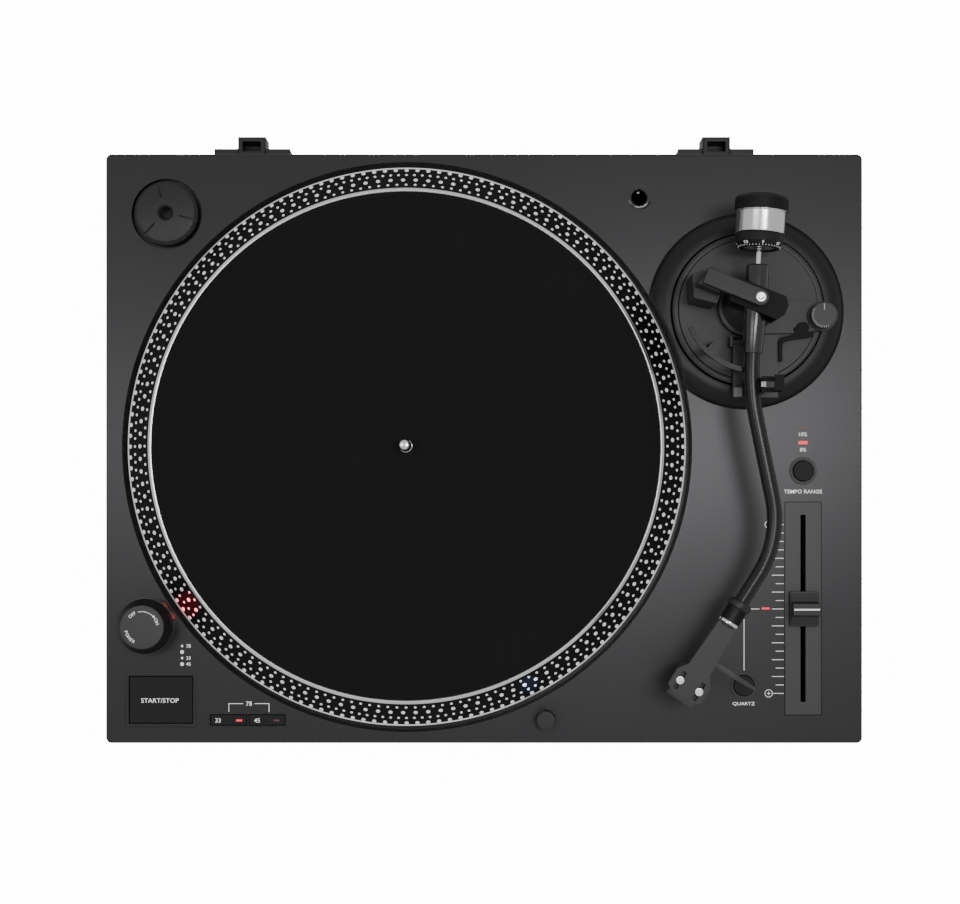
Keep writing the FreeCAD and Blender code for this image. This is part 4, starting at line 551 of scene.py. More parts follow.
def platter():
    """The disc with its sloping dotted band, its bright lip, and the hub and ribs below."""
    plate = PLATTER_TOP - PLATE
    low = bottom_of("platter")
    outline = [(PLATTER_HOLE_R, plate), (PLATTER_R - 2 * SKIRT, plate),
               (PLATTER_R - SKIRT, BAND_OUT_Z - 6.0), (PLATTER_R - SKIRT, low),
               (PLATTER_R - 0.8, low), (PLATTER_R, low + 0.8), (PLATTER_R, BAND_OUT_Z - 0.6),
               (BAND_OUT_R, BAND_OUT_Z), (BAND_IN_R, BAND_TOP_Z), (BAND_IN_R - 1.4, LIP_TOP),
               (MAT_R + MAT_GAP, LIP_TOP - 0.3), (MAT_R + MAT_GAP, PLATTER_TOP),
               (PLATTER_HOLE_R, PLATTER_TOP)]
    bm = lathe(outline, PLATTER_AT, steps=256, edge=0.12)
    rib_low, rib_top = plate - RIB_DEPTH, plate + 0.5
    rings = [(PLATTER_HOLE_R, HUB_R, 96)] + [(radius, radius + RIB, 128) for radius in RIB_RADII]
    for inner, outer, steps in rings:
        section = [(inner, rib_low), (outer, rib_low), (outer, rib_top), (inner, rib_top)]
        lathe(section, PLATTER_AT, steps=steps, bm=bm)
    settle(bm, "platter_look", [PLATTER_METAL], "platter")


def slip_mat():
    """The mat, with a raised edge and a raised ring under the label."""
    low, sunk = PLATTER_TOP, MAT_TOP - MAT_GROOVE
    outline = [(MAT_HOLE_R, low), (MAT_R, low), (MAT_R, MAT_TOP), (MAT_R - 3.0, MAT_TOP),
               (MAT_R - 3.3, sunk), (MAT_LABEL_R, sunk), (MAT_LABEL_R - 0.4, MAT_TOP),
               (MAT_HOLE_R, MAT_TOP)]
    turned_piece("slip_mat", outline, PLATTER_AT, MAT_RUBBER, steps=256, edge=0.3)


def repaint(piece, material, belongs):
    """Give another material to the faces whose centre passes a test."""
    piece.data.materials.append(material)
    for face in piece.data.polygons:
        if belongs(face.center):
            face.material_index = len(piece.data.materials) - 1


KNOB = middle("power_knob")
KNOB_AT = (KNOB.x, KNOB.y, 0)
KNOB_R = 12.5
KNOB_SKIRT_R = 16.2
KNOB_SHAFT_R = 3.0
KNOB_TALL = 8.7


def power_knob():
    low, high = bottom_of("power_knob"), top_of("power_knob")
    skirt = high - KNOB_TALL
    outline = [(0, low), (KNOB_SHAFT_R, low), (KNOB_SHAFT_R, skirt), (KNOB_SKIRT_R, skirt),
               (KNOB_SKIRT_R, skirt + 2.0), (KNOB_R + 0.3, high - 0.4), (KNOB_R, high), (0, high)]
    piece = turned_piece("power_knob", outline, KNOB_AT, KNOB_GREY, steps=128, edge=0.2)
    repaint(piece, MATT_BLACK, lambda spot: spot.z < deck(0, 0, high - 0.5).z)


ARM_BASE = middle("height_ring")
ARM_BASE_AT = (ARM_BASE.x, ARM_BASE.y, 0)
HEIGHT_RING_R = 44.5
HEIGHT_RING_BORE = 41.3
RIB_SEAT_R = HEIGHT_RING_R - 0.6


def height_ring():
    low, top = bottom_of("height_ring"), top_of("height_ring")
    outline = [(HEIGHT_RING_BORE, low), (HEIGHT_RING_R, low), (HEIGHT_RING_R, top - 1.6),
               (RIB_SEAT_R, top - 1.6), (RIB_SEAT_R, top - 0.3), (RIB_SEAT_R - 0.3, top),
               (HEIGHT_RING_BORE, top)]
    turned_piece("height_ring", outline, ARM_BASE_AT, SATIN_BLACK, steps=192, edge=0.15)


# The arm's pieces are turned about its axis. Distances along it run forward from the pivot.
PIVOT = (154.8, 82.6, 43.0)
WEIGHT_FRONT = -29.6
WEIGHT_MID = WEIGHT_FRONT - 8.3
WEIGHT_REAR = WEIGHT_MID - 12.2
WEIGHT_END = WEIGHT_REAR - 9.6
WEIGHT_R = 14.0
GRIP_R = 14.9
WEIGHT_BORE = 3.25
WEIGHT_HUB_R = 9.0
DIAL_R = 13.7
DIAL_TIP_R = 11.3
DIAL_SLOPE = 3.4
DIAL_LONG = 8.0
DIAL_BORE = WEIGHT_HUB_R + 0.05


def pressure_dial():
    front, rear = WEIGHT_FRONT, WEIGHT_FRONT - DIAL_LONG
    outline = [(DIAL_BORE, rear), (DIAL_R, rear), (DIAL_R, front - DIAL_SLOPE),
               (DIAL_TIP_R, front), (DIAL_BORE, front)]
    turned_piece("pressure_dial", outline, PIVOT, KEY_BLACK, ARM_FRONT, 128, 0.3)


def counterweight():
    """The weight: a chrome front part and a black grip, on the hub that carries the dial."""
    front = WEIGHT_FRONT - 0.6
    outline = [(WEIGHT_BORE, WEIGHT_END), (GRIP_R - 1.5, WEIGHT_END), (GRIP_R, WEIGHT_END + 1.5),
               (GRIP_R, WEIGHT_REAR), (WEIGHT_R, WEIGHT_REAR), (WEIGHT_R, WEIGHT_MID - 0.5),
               (WEIGHT_R - 0.5, WEIGHT_MID), (WEIGHT_HUB_R, WEIGHT_MID), (WEIGHT_HUB_R, front),
               (WEIGHT_BORE, front)]
    piece = turned_piece("counterweight", outline, PIVOT, CHROME, ARM_FRONT, 160, 0.4)
    grip_end = (WEIGHT_REAR - 0.4) * MM
    repaint(piece, KEY_BLACK, lambda spot: (spot - deck(*PIVOT)).dot(ARM_FRONT) < grip_end)


SHELL_TURN = math.radians(32.0)
SHELL_WAY = Vector((-math.sin(SHELL_TURN), -math.cos(SHELL_TURN), 0))
COLLAR_END = (138.5, -102.0, 43.0)
COLLAR_R = 5.7
COLLAR_FLANGE_R = 6.9
COLLAR_LIP_R = 6.3
COLLAR_BORE = 5.05
COLLAR_REAR, COLLAR_FRONT = -15.3, -0.6     # from the collar's end, along the headshell
TUBE_R = 4.35
SOCKET_R = COLLAR_BORE - 0.05
SLEEVE_R = 6.6


def locking_collar():
    """Black collar with a flange at its rear and a bright ring at its front."""
    outline = [(COLLAR_BORE, COLLAR_REAR), (5.9, COLLAR_REAR), (COLLAR_FLANGE_R, -14.5),
               (COLLAR_FLANGE_R, -11.3), (COLLAR_R, -10.7), (COLLAR_R, -2.6), (COLLAR_LIP_R, -2.2),
               (COLLAR_LIP_R, COLLAR_FRONT), (COLLAR_BORE, COLLAR_FRONT)]
    piece = turned_piece("locking_collar", outline, COLLAR_END, SATIN_BLACK, SHELL_WAY, 96, 0.15)
    ring_start = -2.4 * MM
    repaint(piece, STEEL, lambda spot: (spot - deck(*COLLAR_END)).dot(SHELL_WAY) > ring_start)


def arm_sleeve():
    """The sleeve through the gimbal, which narrows towards the tube."""
    rear, front = -20.4, 30.0
    outline = [(0, rear), (SLEEVE_R - 0.8, rear), (SLEEVE_R, rear + 0.8), (SLEEVE_R, 6.0),
               (SLEEVE_R - 1.0, front), (0, front)]
    turned_piece("arm_sleeve", outline, PIVOT, GLOSS_BLACK, ARM_FRONT, 96, 0.3)


def tube_path():
    """Centre line of the arm: two straight runs, a slight bend, the strong bend and the end."""
    start = Vector(PIVOT) + ARM_FRONT * 18.0
    end = Vector(COLLAR_END) - SHELL_WAY * 12.0
    bends = ((Vector((151.7, 31.8, 43.0)), 137.0), (Vector((169.1, -53.3, 43.0)), 60.0))
    corners = [start] + [at for at, radius in bends] + [end]
    path = [start]
    for i, (at, radius) in enumerate(bends, 1):
        back = (corners[i - 1] - at).normalized()
        ahead = (corners[i + 1] - at).normalized()
        half = (math.pi - back.angle(ahead)) / 2
        centre = at + (back + ahead).normalized() * radius / math.cos(half)
        first = at + back * radius * math.tan(half) - centre
        last = at + ahead * radius * math.tan(half) - centre
        count = max(8, int(math.degrees(half * 2) / 1.5))
        for step in range(count + 1):
            spoke = first.slerp(last, step / count)
            path.append(centre + spoke * radius / spoke.length)
    return path + [end]


def arm_tube():
    """The bent tube, with the wider socket at its end that takes the headshell."""
    bm = swept(tube_path(), TUBE_R, 48)
    bore, start = TUBE_R - 0.3, -12.2
    socket = [(bore, start), (TUBE_R, start), (SOCKET_R, COLLAR_REAR + 0.2), (SOCKET_R, COLLAR_FRONT),
              (bore, COLLAR_FRONT)]
    lathe(socket, COLLAR_END, SHELL_WAY, 64, 0.1, bm)
    settle(bm, "arm_tube_look", [TUBE_BLACK], "arm_tube")


platter()
slip_mat()
power_knob()
height_ring()
pressure_dial()
counterweight()
locking_collar()
arm_sleeve()
arm_tube()
refined("adapter_45", SATIN_BLACK, 0.3)
refined("arm_base_ring", BASE_RIM, 0.3)
LAMPS = refined("indicator_lights", RED_LIT, 0.3)
FADER_AT = (190.4, -95.4)
UNLIT_BAR_Y = 12.5


def relit(x, y, reach, material):
    """Give the lamps near a deck point another glow."""
    repaint(LAMPS, material, lambda spot: (spot - deck(x, y, 0)).to_2d().length < reach * MM)


relit(FADER_AT[0], UNLIT_BAR_Y, 4.0, UNLIT)
relit(KNOB.x, KNOB.y, KNOB_SKIRT_R + 3.8, RED_DIM)


# ---- What repeats: Geometry Nodes --------------------------------------------------------
class Tree(Graph):
    """A geometry node group with named inputs; a text value stands for the input of that name."""

    def __init__(self, name, **inputs):
        self.tree = bpy.data.node_groups.new(name, "GeometryNodeTree")
        self.ids = {}
        sockets = self.tree.interface
        for key, kind in inputs.items():
            item = sockets.new_socket(name=key, in_out="INPUT", socket_type=kind)
            self.ids[key] = item.identifier
        sockets.new_socket(name="Geometry", in_out="OUTPUT", socket_type="NodeSocketGeometry")
        self.start = self.tree.nodes.new("NodeGroupInput")
        self.end = self.tree.nodes.new("NodeGroupOutput")

    def feed(self, socket, value):
        if isinstance(value, str):
            value = self.start.outputs[value]
        super().feed(socket, value)

    def points(self):
        """A point for each copy, still all in one place."""
        line = self.add("GeometryNodeMeshLine", Count="Count")
        line.inputs["Offset"].default_value = (0.0, 0.0, 0.0)
        return line.outputs[0]

    def brick(self):
        cube = self.add("GeometryNodeMeshCube")
        cube.inputs["Size"].default_value = (1.0, 1.0, 1.0)
        return cube.outputs[0]

    def close(self, geometry):
        real = self.add("GeometryNodeRealizeInstances", Geometry=geometry)
        painted = self.add("GeometryNodeSetMaterial", Geometry=real.outputs[0], Material="Material")
        self.tree.links.new(painted.outputs[0], self.end.inputs[0])

    def grow(self, **values):
        """A plain mesh grown with these sizes, in metres."""
        holder = in_scene("grower", bpy.data.meshes.new("grower"))
        grower = holder.modifiers.new("grow", "NODES")
        grower.node_group = self.tree
        for key, value in values.items():
            grower[self.ids[key]] = value
        return baked(holder)


def ring_tree():
    """Copies of a coin or a brick round the Z axis, leaning outwards by Lean."""
    t = Tree("ring_of", Count="NodeSocketInt", Radius="NodeSocketFloat", Height="NodeSocketFloat",
             Size="NodeSocketVector", Lean="NodeSocketFloat", Round="NodeSocketBool",
             Material="NodeSocketMaterial")
    index = t.add("GeometryNodeInputIndex").outputs[0]
    angle = t.math("MULTIPLY", index, t.math("DIVIDE", math.tau, "Count"))
    spot = t.add("ShaderNodeCombineXYZ")
    t.feed(spot.inputs[0], t.math("MULTIPLY", t.math("COSINE", angle), "Radius"))
    t.feed(spot.inputs[1], t.math("MULTIPLY", t.math("SINE", angle), "Radius"))
    t.feed(spot.inputs[2], "Height")
    placed = t.add("GeometryNodeSetPosition", Geometry=t.points(), Position=spot.outputs[0])
    coin = t.add("GeometryNodeMeshCylinder", Vertices=20, Radius=0.5, Depth=1.0)
    choice = t.add("GeometryNodeSwitch")
    choice.input_type = "GEOMETRY"
    t.feed(choice.inputs["Switch"], "Round")
    t.feed(choice.inputs["False"], t.brick())
    t.feed(choice.inputs["True"], coin.outputs[0])
    facing = t.add("ShaderNodeCombineXYZ")
    t.feed(facing.inputs[1], "Lean")
    t.feed(facing.inputs[2], angle)
    copies = t.add("GeometryNodeInstanceOnPoints", Points=placed.outputs[0], Instance=choice.outputs[0],
                   Rotation=facing.outputs[0], Scale="Size")
    t.close(copies.outputs[0])
    return t


TICK_THICK = 0.04


def row_tree():
    """Long and short lines by turns along Y; their right ends are in line."""
    t = Tree("row_of", Count="NodeSocketInt", Pitch="NodeSocketFloat", Long="NodeSocketFloat",
             Short="NodeSocketFloat", Width="NodeSocketFloat", Material="NodeSocketMaterial")
    index = t.add("GeometryNodeInputIndex").outputs[0]
    odd = t.math("MODULO", index, 2.0)
    shrink = t.math("MULTIPLY", odd, t.math("SUBTRACT", "Long", "Short"))
    length = t.math("SUBTRACT", "Long", shrink)
    spot = t.add("ShaderNodeCombineXYZ")
    t.feed(spot.inputs[0], t.math("MULTIPLY", length, -0.5))
    middle_index = t.math("MULTIPLY", t.math("SUBTRACT", "Count", 1.0), 0.5)
    t.feed(spot.inputs[1], t.math("MULTIPLY", t.math("SUBTRACT", index, middle_index), "Pitch"))
    placed = t.add("GeometryNodeSetPosition", Geometry=t.points(), Position=spot.outputs[0])
    size = t.add("ShaderNodeCombineXYZ")
    t.feed(size.inputs[0], length)
    t.feed(size.inputs[1], "Width")
    size.inputs[2].default_value = TICK_THICK * MM
    copies = t.add("GeometryNodeInstanceOnPoints", Points=placed.outputs[0], Instance=t.brick(),
                   Scale=size.outputs[0])
    t.close(copies.outputs[0])
    return t


RING = ring_tree()
ROW = row_tree()


def ring_of(count, radius, height, size, material, lean=0.0, coins=False):
    """Bricks or coins in a ring. Sizes in millimetres; lean in radians."""
    return RING.grow(Count=count, Radius=radius * MM, Height=height * MM, Size=[s * MM for s in size],
                     Lean=lean, Round=coins, Material=material)


def joined(name, meshes, node, places=None):
    """Several meshes as one piece on the body of a CAD node."""
    bm = bmesh.new()
    materials = []
    for i, mesh in enumerate(meshes):
        if places:
            mesh.transform(places[i])
        first = len(bm.faces)
        bm.from_mesh(mesh)
        bm.faces.ensure_lookup_table()
        slots = []
        for material in mesh.materials:
            if material not in materials:
                materials.append(material)
            slots.append(materials.index(material))
        for face in bm.faces[first:]:
            face.material_index = slots[face.material_index] if slots else 0
        bpy.data.meshes.remove(mesh)
    bmesh.ops.recalc_face_normals(bm, faces=bm.faces)
    return attach(name, mesh_from(bm, name), materials, node, stands_for=False)


def at_deck(x, y, z, axis=UP):
    """Where to put a mesh made round the Z axis, to have it round an axis through a deck point."""
    turn = axis.to_track_quat("Z", "X").to_matrix().to_4x4()
    return Matrix.Translation(deck(x, y, z)) @ turn


# ---- Dots round the platter ---------------------------------------------------------------
SMALL_DOT, LARGE_DOT = 1.6, 2.45
DOT_THICK = 0.30
DOT_ROWS = [(180, 153.9, SMALL_DOT), (133, 157.2, LARGE_DOT),     # how many, on what radius
            (216, 160.7, SMALL_DOT), (160, 164.0, LARGE_DOT)]


def platter_dots():
    slope = math.atan2(BAND_TOP_Z - BAND_OUT_Z, BAND_OUT_R - BAND_IN_R)
    meshes = []
    for count, radius, size in DOT_ROWS:
        height = BAND_OUT_Z + (BAND_OUT_R - radius) * math.tan(slope)
        coin = (size, size, DOT_THICK)
        meshes.append(ring_of(count, radius, height, coin, DOT_SILVER, slope, coins=True))
    joined("platter_dots", meshes, "platter", [at_deck(*PLATTER_AT)] * len(meshes))


# ---- Knurls ---------------------------------------------------------------------------------
GRIP_ROWS = 4
GRIP_PITCH = 1.6


def knurls():
    """Ridges on what is gripped. A ridge's size is its height, its width and its length."""
    grip = [ring_of(110, GRIP_R + 0.05, WEIGHT_REAR - GRIP_PITCH * (i + 1), (0.42, 0.5, 1.3), KEY_BLACK)
            for i in range(GRIP_ROWS)]
    joined("weight_grip", grip, "counterweight", [at_deck(*PIVOT, ARM_FRONT)] * GRIP_ROWS)
    ring = ring_of(150, RIB_SEAT_R + 0.05, top_of("height_ring") - 0.85, (0.9, 0.9, 1.2), KNOB_GREY)
    joined("height_ring_ribs", [ring], "height_ring", [at_deck(*ARM_BASE_AT)])
    collar = ring_of(44, COLLAR_R + 0.05, -6.65, (0.5, 0.42, 7.6), KEY_BLACK)
    joined("collar_ribs", [collar], "locking_collar", [at_deck(*COLLAR_END, SHELL_WAY)])
    knob = ring_of(72, KNOB_SKIRT_R - 0.3, top_of("power_knob") - 7.4, (0.45, 0.6, 1.6), KNOB_GREY)
    joined("knob_ribs", [knob], "power_knob", [at_deck(*KNOB_AT)])


platter_dots()
knurls()


# ---- Printed words, lines and marks --------------------------------------------------------
INK = 0.03                # thickness of a print
CLEAR = 0.02              # how far a print stands off its surface


def words(text, x, y, z, height, width=None, turn=0.0):
    """Letters of a given height, and width if one is given, centred on a deck point."""
    curve = bpy.data.curves.new("letters", "FONT")
    curve.body = text
    curve.extrude = 0.01
    curve.offset = 0.004
    curve.resolution_u = 3
    mesh = baked(in_scene("letters", curve))
    low = Vector(min(v.co[i] for v in mesh.vertices) for i in range(3))
    high = Vector(max(v.co[i] for v in mesh.vertices) for i in range(3))
    tall = height / (high.y - low.y)
    wide = width / (high.x - low.x) if width else tall
    thick = INK / (high.z - low.z)
    scale = Matrix.Diagonal((wide * MM, tall * MM, thick * MM, 1.0))
    place = Matrix.Translation(deck(x, y, z + INK / 2)) @ Matrix.Rotation(turn, 4, "Z")
    mesh.transform(place @ scale @ Matrix.Translation(-(low + high) / 2))
    return mesh


def flat_shape(points, z):
    """A thin print with a given outline of (x, y) deck points."""
    bm = bmesh.new()
    bottom = [bm.verts.new(deck(x, y, z)) for x, y in points]
    top = [bm.verts.new(deck(x, y, z + INK)) for x, y in points]
    bm.faces.new(bottom)
    bm.faces.new(top)
    for i in range(len(points)):
        j = (i + 1) % len(points)
        bm.faces.new((bottom[i], bottom[j], top[j], top[i]))
    return mesh_from(bm, "mark")


def patch(x, y, half_x, half_y, z):
    """A rectangle of print about a deck point."""
    return flat_shape([(x - half_x, y - half_y), (x + half_x, y - half_y), (x + half_x, y + half_y),
                       (x - half_x, y + half_y)], z)


def line(x0, y0, x1, y1, z, wide=0.35):
    start, end = Vector((x0, y0)), Vector((x1, y1))
    along = end - start
    side = Vector((-along.y, along.x)).normalized() * wide / 2
    return flat_shape([start - side, end - side, end + side, start + side], z)


def on_circle(x, y, radius, angle):
    """The deck point at an angle, in radians, on a circle."""
    return x + radius * math.cos(angle), y + radius * math.sin(angle)


ROUND_STEPS = 24


def spot(x, y, z, radius):
    angles = [math.tau * i / ROUND_STEPS for i in range(ROUND_STEPS)]
    return flat_shape([on_circle(x, y, radius, angle) for angle in angles], z)


def arc(x, y, z, radius, start, end, wide):
    """A thin print along part of a circle; angles in degrees."""
    angles = [math.radians(start + (end - start) * i / ROUND_STEPS) for i in range(ROUND_STEPS + 1)]
    outer = [on_circle(x, y, radius + wide / 2, angle) for angle in angles]
    inner = [on_circle(x, y, radius - wide / 2, angle) for angle in angles]
    return [flat_shape([inner[i], outer[i], outer[i + 1], inner[i + 1]], z) for i in range(ROUND_STEPS)]


def printed(name, meshes, node, material=None):
    """One piece of print on the body of a CAD node."""
    for mesh in meshes:
        mesh.materials.clear()
        mesh.materials.append(material or PRINT_WHITE)
    return joined(name, meshes, node)


LABEL_TALL = 2.3
THIN = 0.3
QUARTZ_X = 155.0
SPEED_Y = -162.3                  # middle of the two speed buttons
SCALE_Y = -95.7                   # zero of the tempo scale
TICK_END = 178.9
LEGEND_X = -180.3
LEGEND = ((-117.8, 0.7, "78"), (-121.4, 1.1, ""), (-125.0, 0.7, "33"), (-128.6, 1.1, "45"))
SIGN_X = 169.9
PLUS_Y, MINUS_Y = -146.1, -45.3


def button_labels():
    return [words("QUARTZ", QUARTZ_X, -152.4, CLEAR, LABEL_TALL, 13.2),
            words("TEMPO RANGE", FADER_AT[0], -25.6, CLEAR, LABEL_TALL, 22.8),
            words("10%", FADER_AT[0], 8.6, CLEAR, LABEL_TALL),
            words("8%", FADER_AT[0], -0.6, CLEAR, LABEL_TALL)]


def zero_marks():
    """Lines from the quartz button and from its lamp towards the tempo scale's zero."""
    return [line(QUARTZ_X + 0.2, -101.8, QUARTZ_X + 0.2, -132.4, CLEAR),
            line(158.6, SCALE_Y, 164.4, SCALE_Y, CLEAR)]


def both_speeds():
    """Bracket over the two speed buttons, which are pressed together for 78."""
    x, y, z = -140.4, -152.2, CLEAR
    reach, gap, drop = 12.0, 3.4, 5.0
    return [line(x - reach, y, x - gap, y, z), line(x + gap, y, x + reach, y, z),
            line(x - reach, y + 0.17, x - reach, y - drop, z),
            line(x + reach, y + 0.17, x + reach, y - drop, z), words("78", x, y, z, 2.7)]


def dot_legend():
    """Which row of dots stands still at which speed."""
    marks = []
    for y, radius, speed in LEGEND:
        marks.append(spot(LEGEND_X, y, CLEAR, radius))
        if speed:
            marks.append(words(speed, LEGEND_X + 3.8, y, CLEAR, 2.1))
    return marks


def tempo_sign(y):
    """A minus in a circle, with its line to the scale."""
    marks = arc(SIGN_X, y, CLEAR, 2.2, 0, 360, THIN)
    marks.append(line(SIGN_X - 1.0, y, SIGN_X + 1.0, y, CLEAR, THIN))
    marks.append(line(SIGN_X + 2.3, y, TICK_END, y, CLEAR, THIN))
    return marks


def deck_prints():
    marks = button_labels() + zero_marks() + both_speeds() + dot_legend()
    marks += tempo_sign(PLUS_Y)
    marks.append(line(SIGN_X, PLUS_Y - 1.0, SIGN_X, PLUS_Y + 1.0, CLEAR, THIN))
    marks += tempo_sign(MINUS_Y)
    printed("deck_prints", marks, "top_cover")


def tempo_scale():
    ticks = ROW.grow(Count=21, Pitch=5.04 * MM, Long=7.1 * MM, Short=4.8 * MM, Width=0.36 * MM,
                     Material=PRINT_WHITE)
    place = Matrix.Translation(deck(TICK_END, SCALE_Y, CLEAR + TICK_THICK / 2))
    joined("tempo_scale", [ticks], "top_cover", [place])


def fader_gap():
    """Dark joint between the fader's plate and the plinth."""
    (x, y), gap, wide = FADER_AT, 0.2, 0.6
    low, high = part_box("fader_plate")
    half_x, half_y = (high.x - low.x) / MM / 2 + gap, (high.y - low.y) / MM / 2 + gap
    sides = [line(x + s * half_x, y - half_y - gap, x + s * half_x, y + half_y + gap, CLEAR, wide)
             for s in (-1, 1)]
    ends = [line(x - half_x, y + s * half_y, x + half_x, y + s * half_y, CLEAR + 0.01, wide)
            for s in (-1, 1)]
    printed("fader_gap", sides + ends, "top_cover", RAIL_BLACK)


def button_prints():
    z = top_of("start_stop_button") + CLEAR
    printed("start_print", [words("START/STOP", -193.6, -150.4, z, 2.7, 22.4)], "start_stop_button")
    z = top_of("button_33") + CLEAR
    for node, text, x, lamp_x, colour in (("button_33", "33", -158.9, -146.3, RED_LIT),
                                          ("button_45", "45", -135.6, -124.0, UNLIT)):
        printed(node + "_print", [words(text, x, SPEED_Y, z, 2.6)], node)
        printed(node + "_bar", [patch(lamp_x, SPEED_Y, 1.8, 0.6, z)], node, colour)


OFF_ANGLE, ON_ANGLE = 128, 22     # degrees round the knob
POWER_START, POWER_STEP = 196, 11
LETTERS_R = 9.6
TURN_R = 9.2


def knob_print():
    """The words round the knob's top, and the arrow from OFF towards ON."""
    z = top_of("power_knob") + CLEAR
    marks = []
    for text, angle in (("OFF", OFF_ANGLE), ("ON", ON_ANGLE)):
        turn = math.radians(angle)
        x, y = on_circle(KNOB.x, KNOB.y, TURN_R, turn)
        marks.append(words(text, x, y, z, 1.9, turn=turn - math.pi / 2))
    for i, letter in enumerate("POWER"):
        turn = math.radians(POWER_START + POWER_STEP * i)
        x, y = on_circle(KNOB.x, KNOB.y, LETTERS_R, turn)
        marks.append(words(letter, x, y, z, 1.8, turn=turn + math.pi / 2))
    marks += arc(KNOB.x, KNOB.y, z, TURN_R, 104, 44, THIN)
    x, y = on_circle(KNOB.x, KNOB.y, TURN_R, math.radians(41))
    marks.append(flat_shape([(x + 0.75, y - 0.9), (x + 0.4, y + 1.0), (x - 1.0, y + 0.2)], z))
    printed("knob_print", marks, "power_knob")


def fader_marks():
    """White line across the fader's knob, let into its top."""
    top = top_of("fader_knob")
    printed("fader_line", [patch(*FADER_AT, 7.6, 0.45, top - 0.02)], "fader_knob")


DIAL_TICKS = 40
DIAL_FIGURES = 8
DIAL_STEP = 0.5                   # between two figures


def dial_scale():
    """Figures and ticks on the sloping front of the stylus force dial."""
    lean = math.atan2(DIAL_R - DIAL_TIP_R, DIAL_SLOPE)
    at = at_deck(*PIVOT, ARM_FRONT)
    ticks = ring_of(DIAL_TICKS, 11.8, WEIGHT_FRONT - 0.74, (0.12, 0.22, 0.8), PRINT_WHITE, lean=-lean)
    meshes, places = [ticks], [at]
    upright = Matrix.Rotation(math.pi / 2, 4, "Y") @ Matrix.Rotation(math.pi / 2, 4, "Z")
    to_slope = Matrix.Translation(Vector((12.85, 0, WEIGHT_FRONT - 2.15)) * MM)
    for i in range(DIAL_FIGURES):
        figure = words(f"{i * DIAL_STEP:g}", 0, 0, 0, 1.7)
        figure.materials.clear()
        figure.materials.append(PRINT_WHITE)
        turn = Matrix.Rotation(math.tau * i / DIAL_FIGURES, 4, "Z")
        place = turn @ to_slope @ Matrix.Rotation(-lean, 4, "Y") @ upright
        meshes.append(figure)
        places.append(at @ place @ Matrix.Translation(-deck(0, 0, 0)))
    joined("dial_scale", meshes, "pressure_dial", places)


def skate_scale():
    """Pointer line and ticks on the anti-skate dial."""
    dial = middle("anti_skate_dial")
    z = top_of("anti_skate_dial") + CLEAR
    marks = [line(dial.x, dial.y + 3.0, dial.x, dial.y + 6.6, z, 0.5)]
    for i in range(15):
        turn = math.radians(150 + i * 10)
        marks.append(line(*on_circle(dial.x, dial.y, 6.2, turn), *on_circle(dial.x, dial.y, 7.4, turn),
                          z, 0.25))
    printed("skate_scale", marks, "anti_skate_dial", PRINT_GREY)


def weight_marks():
    """Bright rim at the end of the weight's grip."""
    inner, outer, start, thick = 12.6, 13.3, WEIGHT_END - 0.01, 0.31
    section = [(inner, start), (outer, start), (outer + 0.3, start + thick), (inner, start + thick)]
    mesh = mesh_from(lathe(section, PIVOT, ARM_FRONT, 96, 0), "end_ring")
    mesh.materials.append(STEEL)
    joined("weight_end_ring", [mesh], "counterweight")


def lever_tip():
    """Pale pad at the front end of the cue lever."""
    z = top_of("cue_lever") - 0.5 + CLEAR
    printed("lever_tip", [patch(148.4, 32.3, 2.4, 2.7, z)], "cue_lever", TIP_GREY)


deck_prints()
tempo_scale()
fader_gap()
button_prints()
knob_print()
fader_marks()
dial_scale()
skate_scale()
weight_marks()
lever_tip()


# ---- Camera, light and floor -------------------------------------------------------------
EYE_AT = (-1.3, -36.6, 950.0)
LENS, SENSOR = 59.67, 36.0        # millimetres
SHIFT = (-0.002, 0.0604)          # of the sensor's width
WORLD_GLOW = 0.62
FLOOR_GLOW = 14.0
FLOOR_REACH = 40.0                # metres
FLOOR_GAP = 0.2


def camera():
    data = bpy.data.cameras.new("camera")
    data.lens = LENS
    data.sensor_width = SENSOR
    data.shift_x, data.shift_y = SHIFT
    data.clip_start = 0.01
    data.clip_end = 20.0
    eye = in_scene("camera", data)
    eye.location = deck(*EYE_AT)
    bpy.context.scene.camera = eye


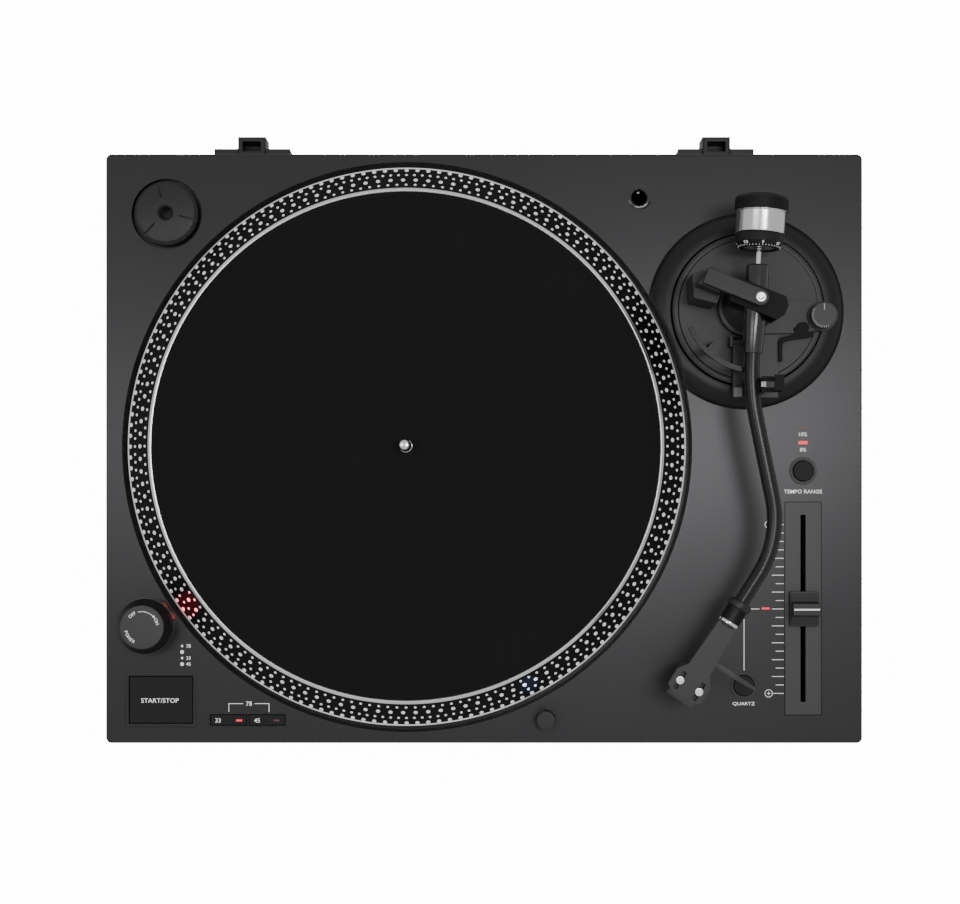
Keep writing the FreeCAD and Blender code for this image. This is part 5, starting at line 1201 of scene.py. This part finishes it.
def hang(data, at, aim):
    """Put a lamp at one deck point, pointing at another."""
    lamp = in_scene(data.name, data)
    lamp.location = deck(*at)
    lamp.rotation_euler = (deck(*aim) - lamp.location).to_track_quat("-Z", "Y").to_euler()


def softbox(name, at, aim, size, power):
    data = bpy.data.lights.new(name, "AREA")
    data.shape = "RECTANGLE"
    data.size, data.size_y = size
    data.energy = power
    hang(data, at, aim)


def studio():
    world = bpy.data.worlds.new("studio")
    world.use_nodes = True
    background = world.node_tree.nodes["Background"]
    background.inputs["Color"].default_value = WHITE
    background.inputs["Strength"].default_value = WORLD_GLOW
    bpy.context.scene.world = world
    softbox("main_light", (280, 60, 1250), (60, 0, 0), (0.14, 0.5), 3.2)
    softbox("left_light", (-540, 60, 1200), (-60, 0, 0), (0.2, 0.6), 1.5)


def lamp_beam(name, at, aim, colour, power, angle):
    """Light that a small lamp on the deck throws on to the dots; angle in degrees."""
    data = bpy.data.lights.new(name, "SPOT")
    data.color = colour
    data.energy = power
    data.spot_size = math.radians(angle)
    data.spot_blend = 0.8
    data.shadow_soft_size = 0.001
    hang(data, at, aim)


def floor():
    """White floor that glows for the camera alone, so it throws no light up at the deck."""
    n = Nodes("floor_white")
    n.set(Base_Color=n.mix(n.noise(3.0), (0.86, 0.86, 0.86), (0.88, 0.88, 0.88)), Roughness=0.9)
    n.set(Emission_Color=WHITE, Emission_Strength=FLOOR_GLOW)
    mesh = bpy.data.meshes.new("floor")
    low = cad_box[0].z - FLOOR_GAP * MM
    signs = ((-1, -1), (1, -1), (1, 1), (-1, 1))
    mesh.from_pydata([(x * FLOOR_REACH, y * FLOOR_REACH, low) for x, y in signs], [], [(0, 1, 2, 3)])
    mesh.materials.append(n.material)
    plane = in_scene("floor", mesh)
    plane.visible_glossy = False
    plane.visible_diffuse = False


camera()
studio()
floor()
lamp_beam("strobe_beam", (-182.0, -96.0, 75.0), (-175.0, -92.4, 10.0), (1.0, 0.02, 0.06), 1.4, 16)
lamp_beam("target_beam", (31.0, -150.0, 75.0), (26.5, -139.5, 8.0), (0.35, 0.5, 1.0), 0.8, 12)
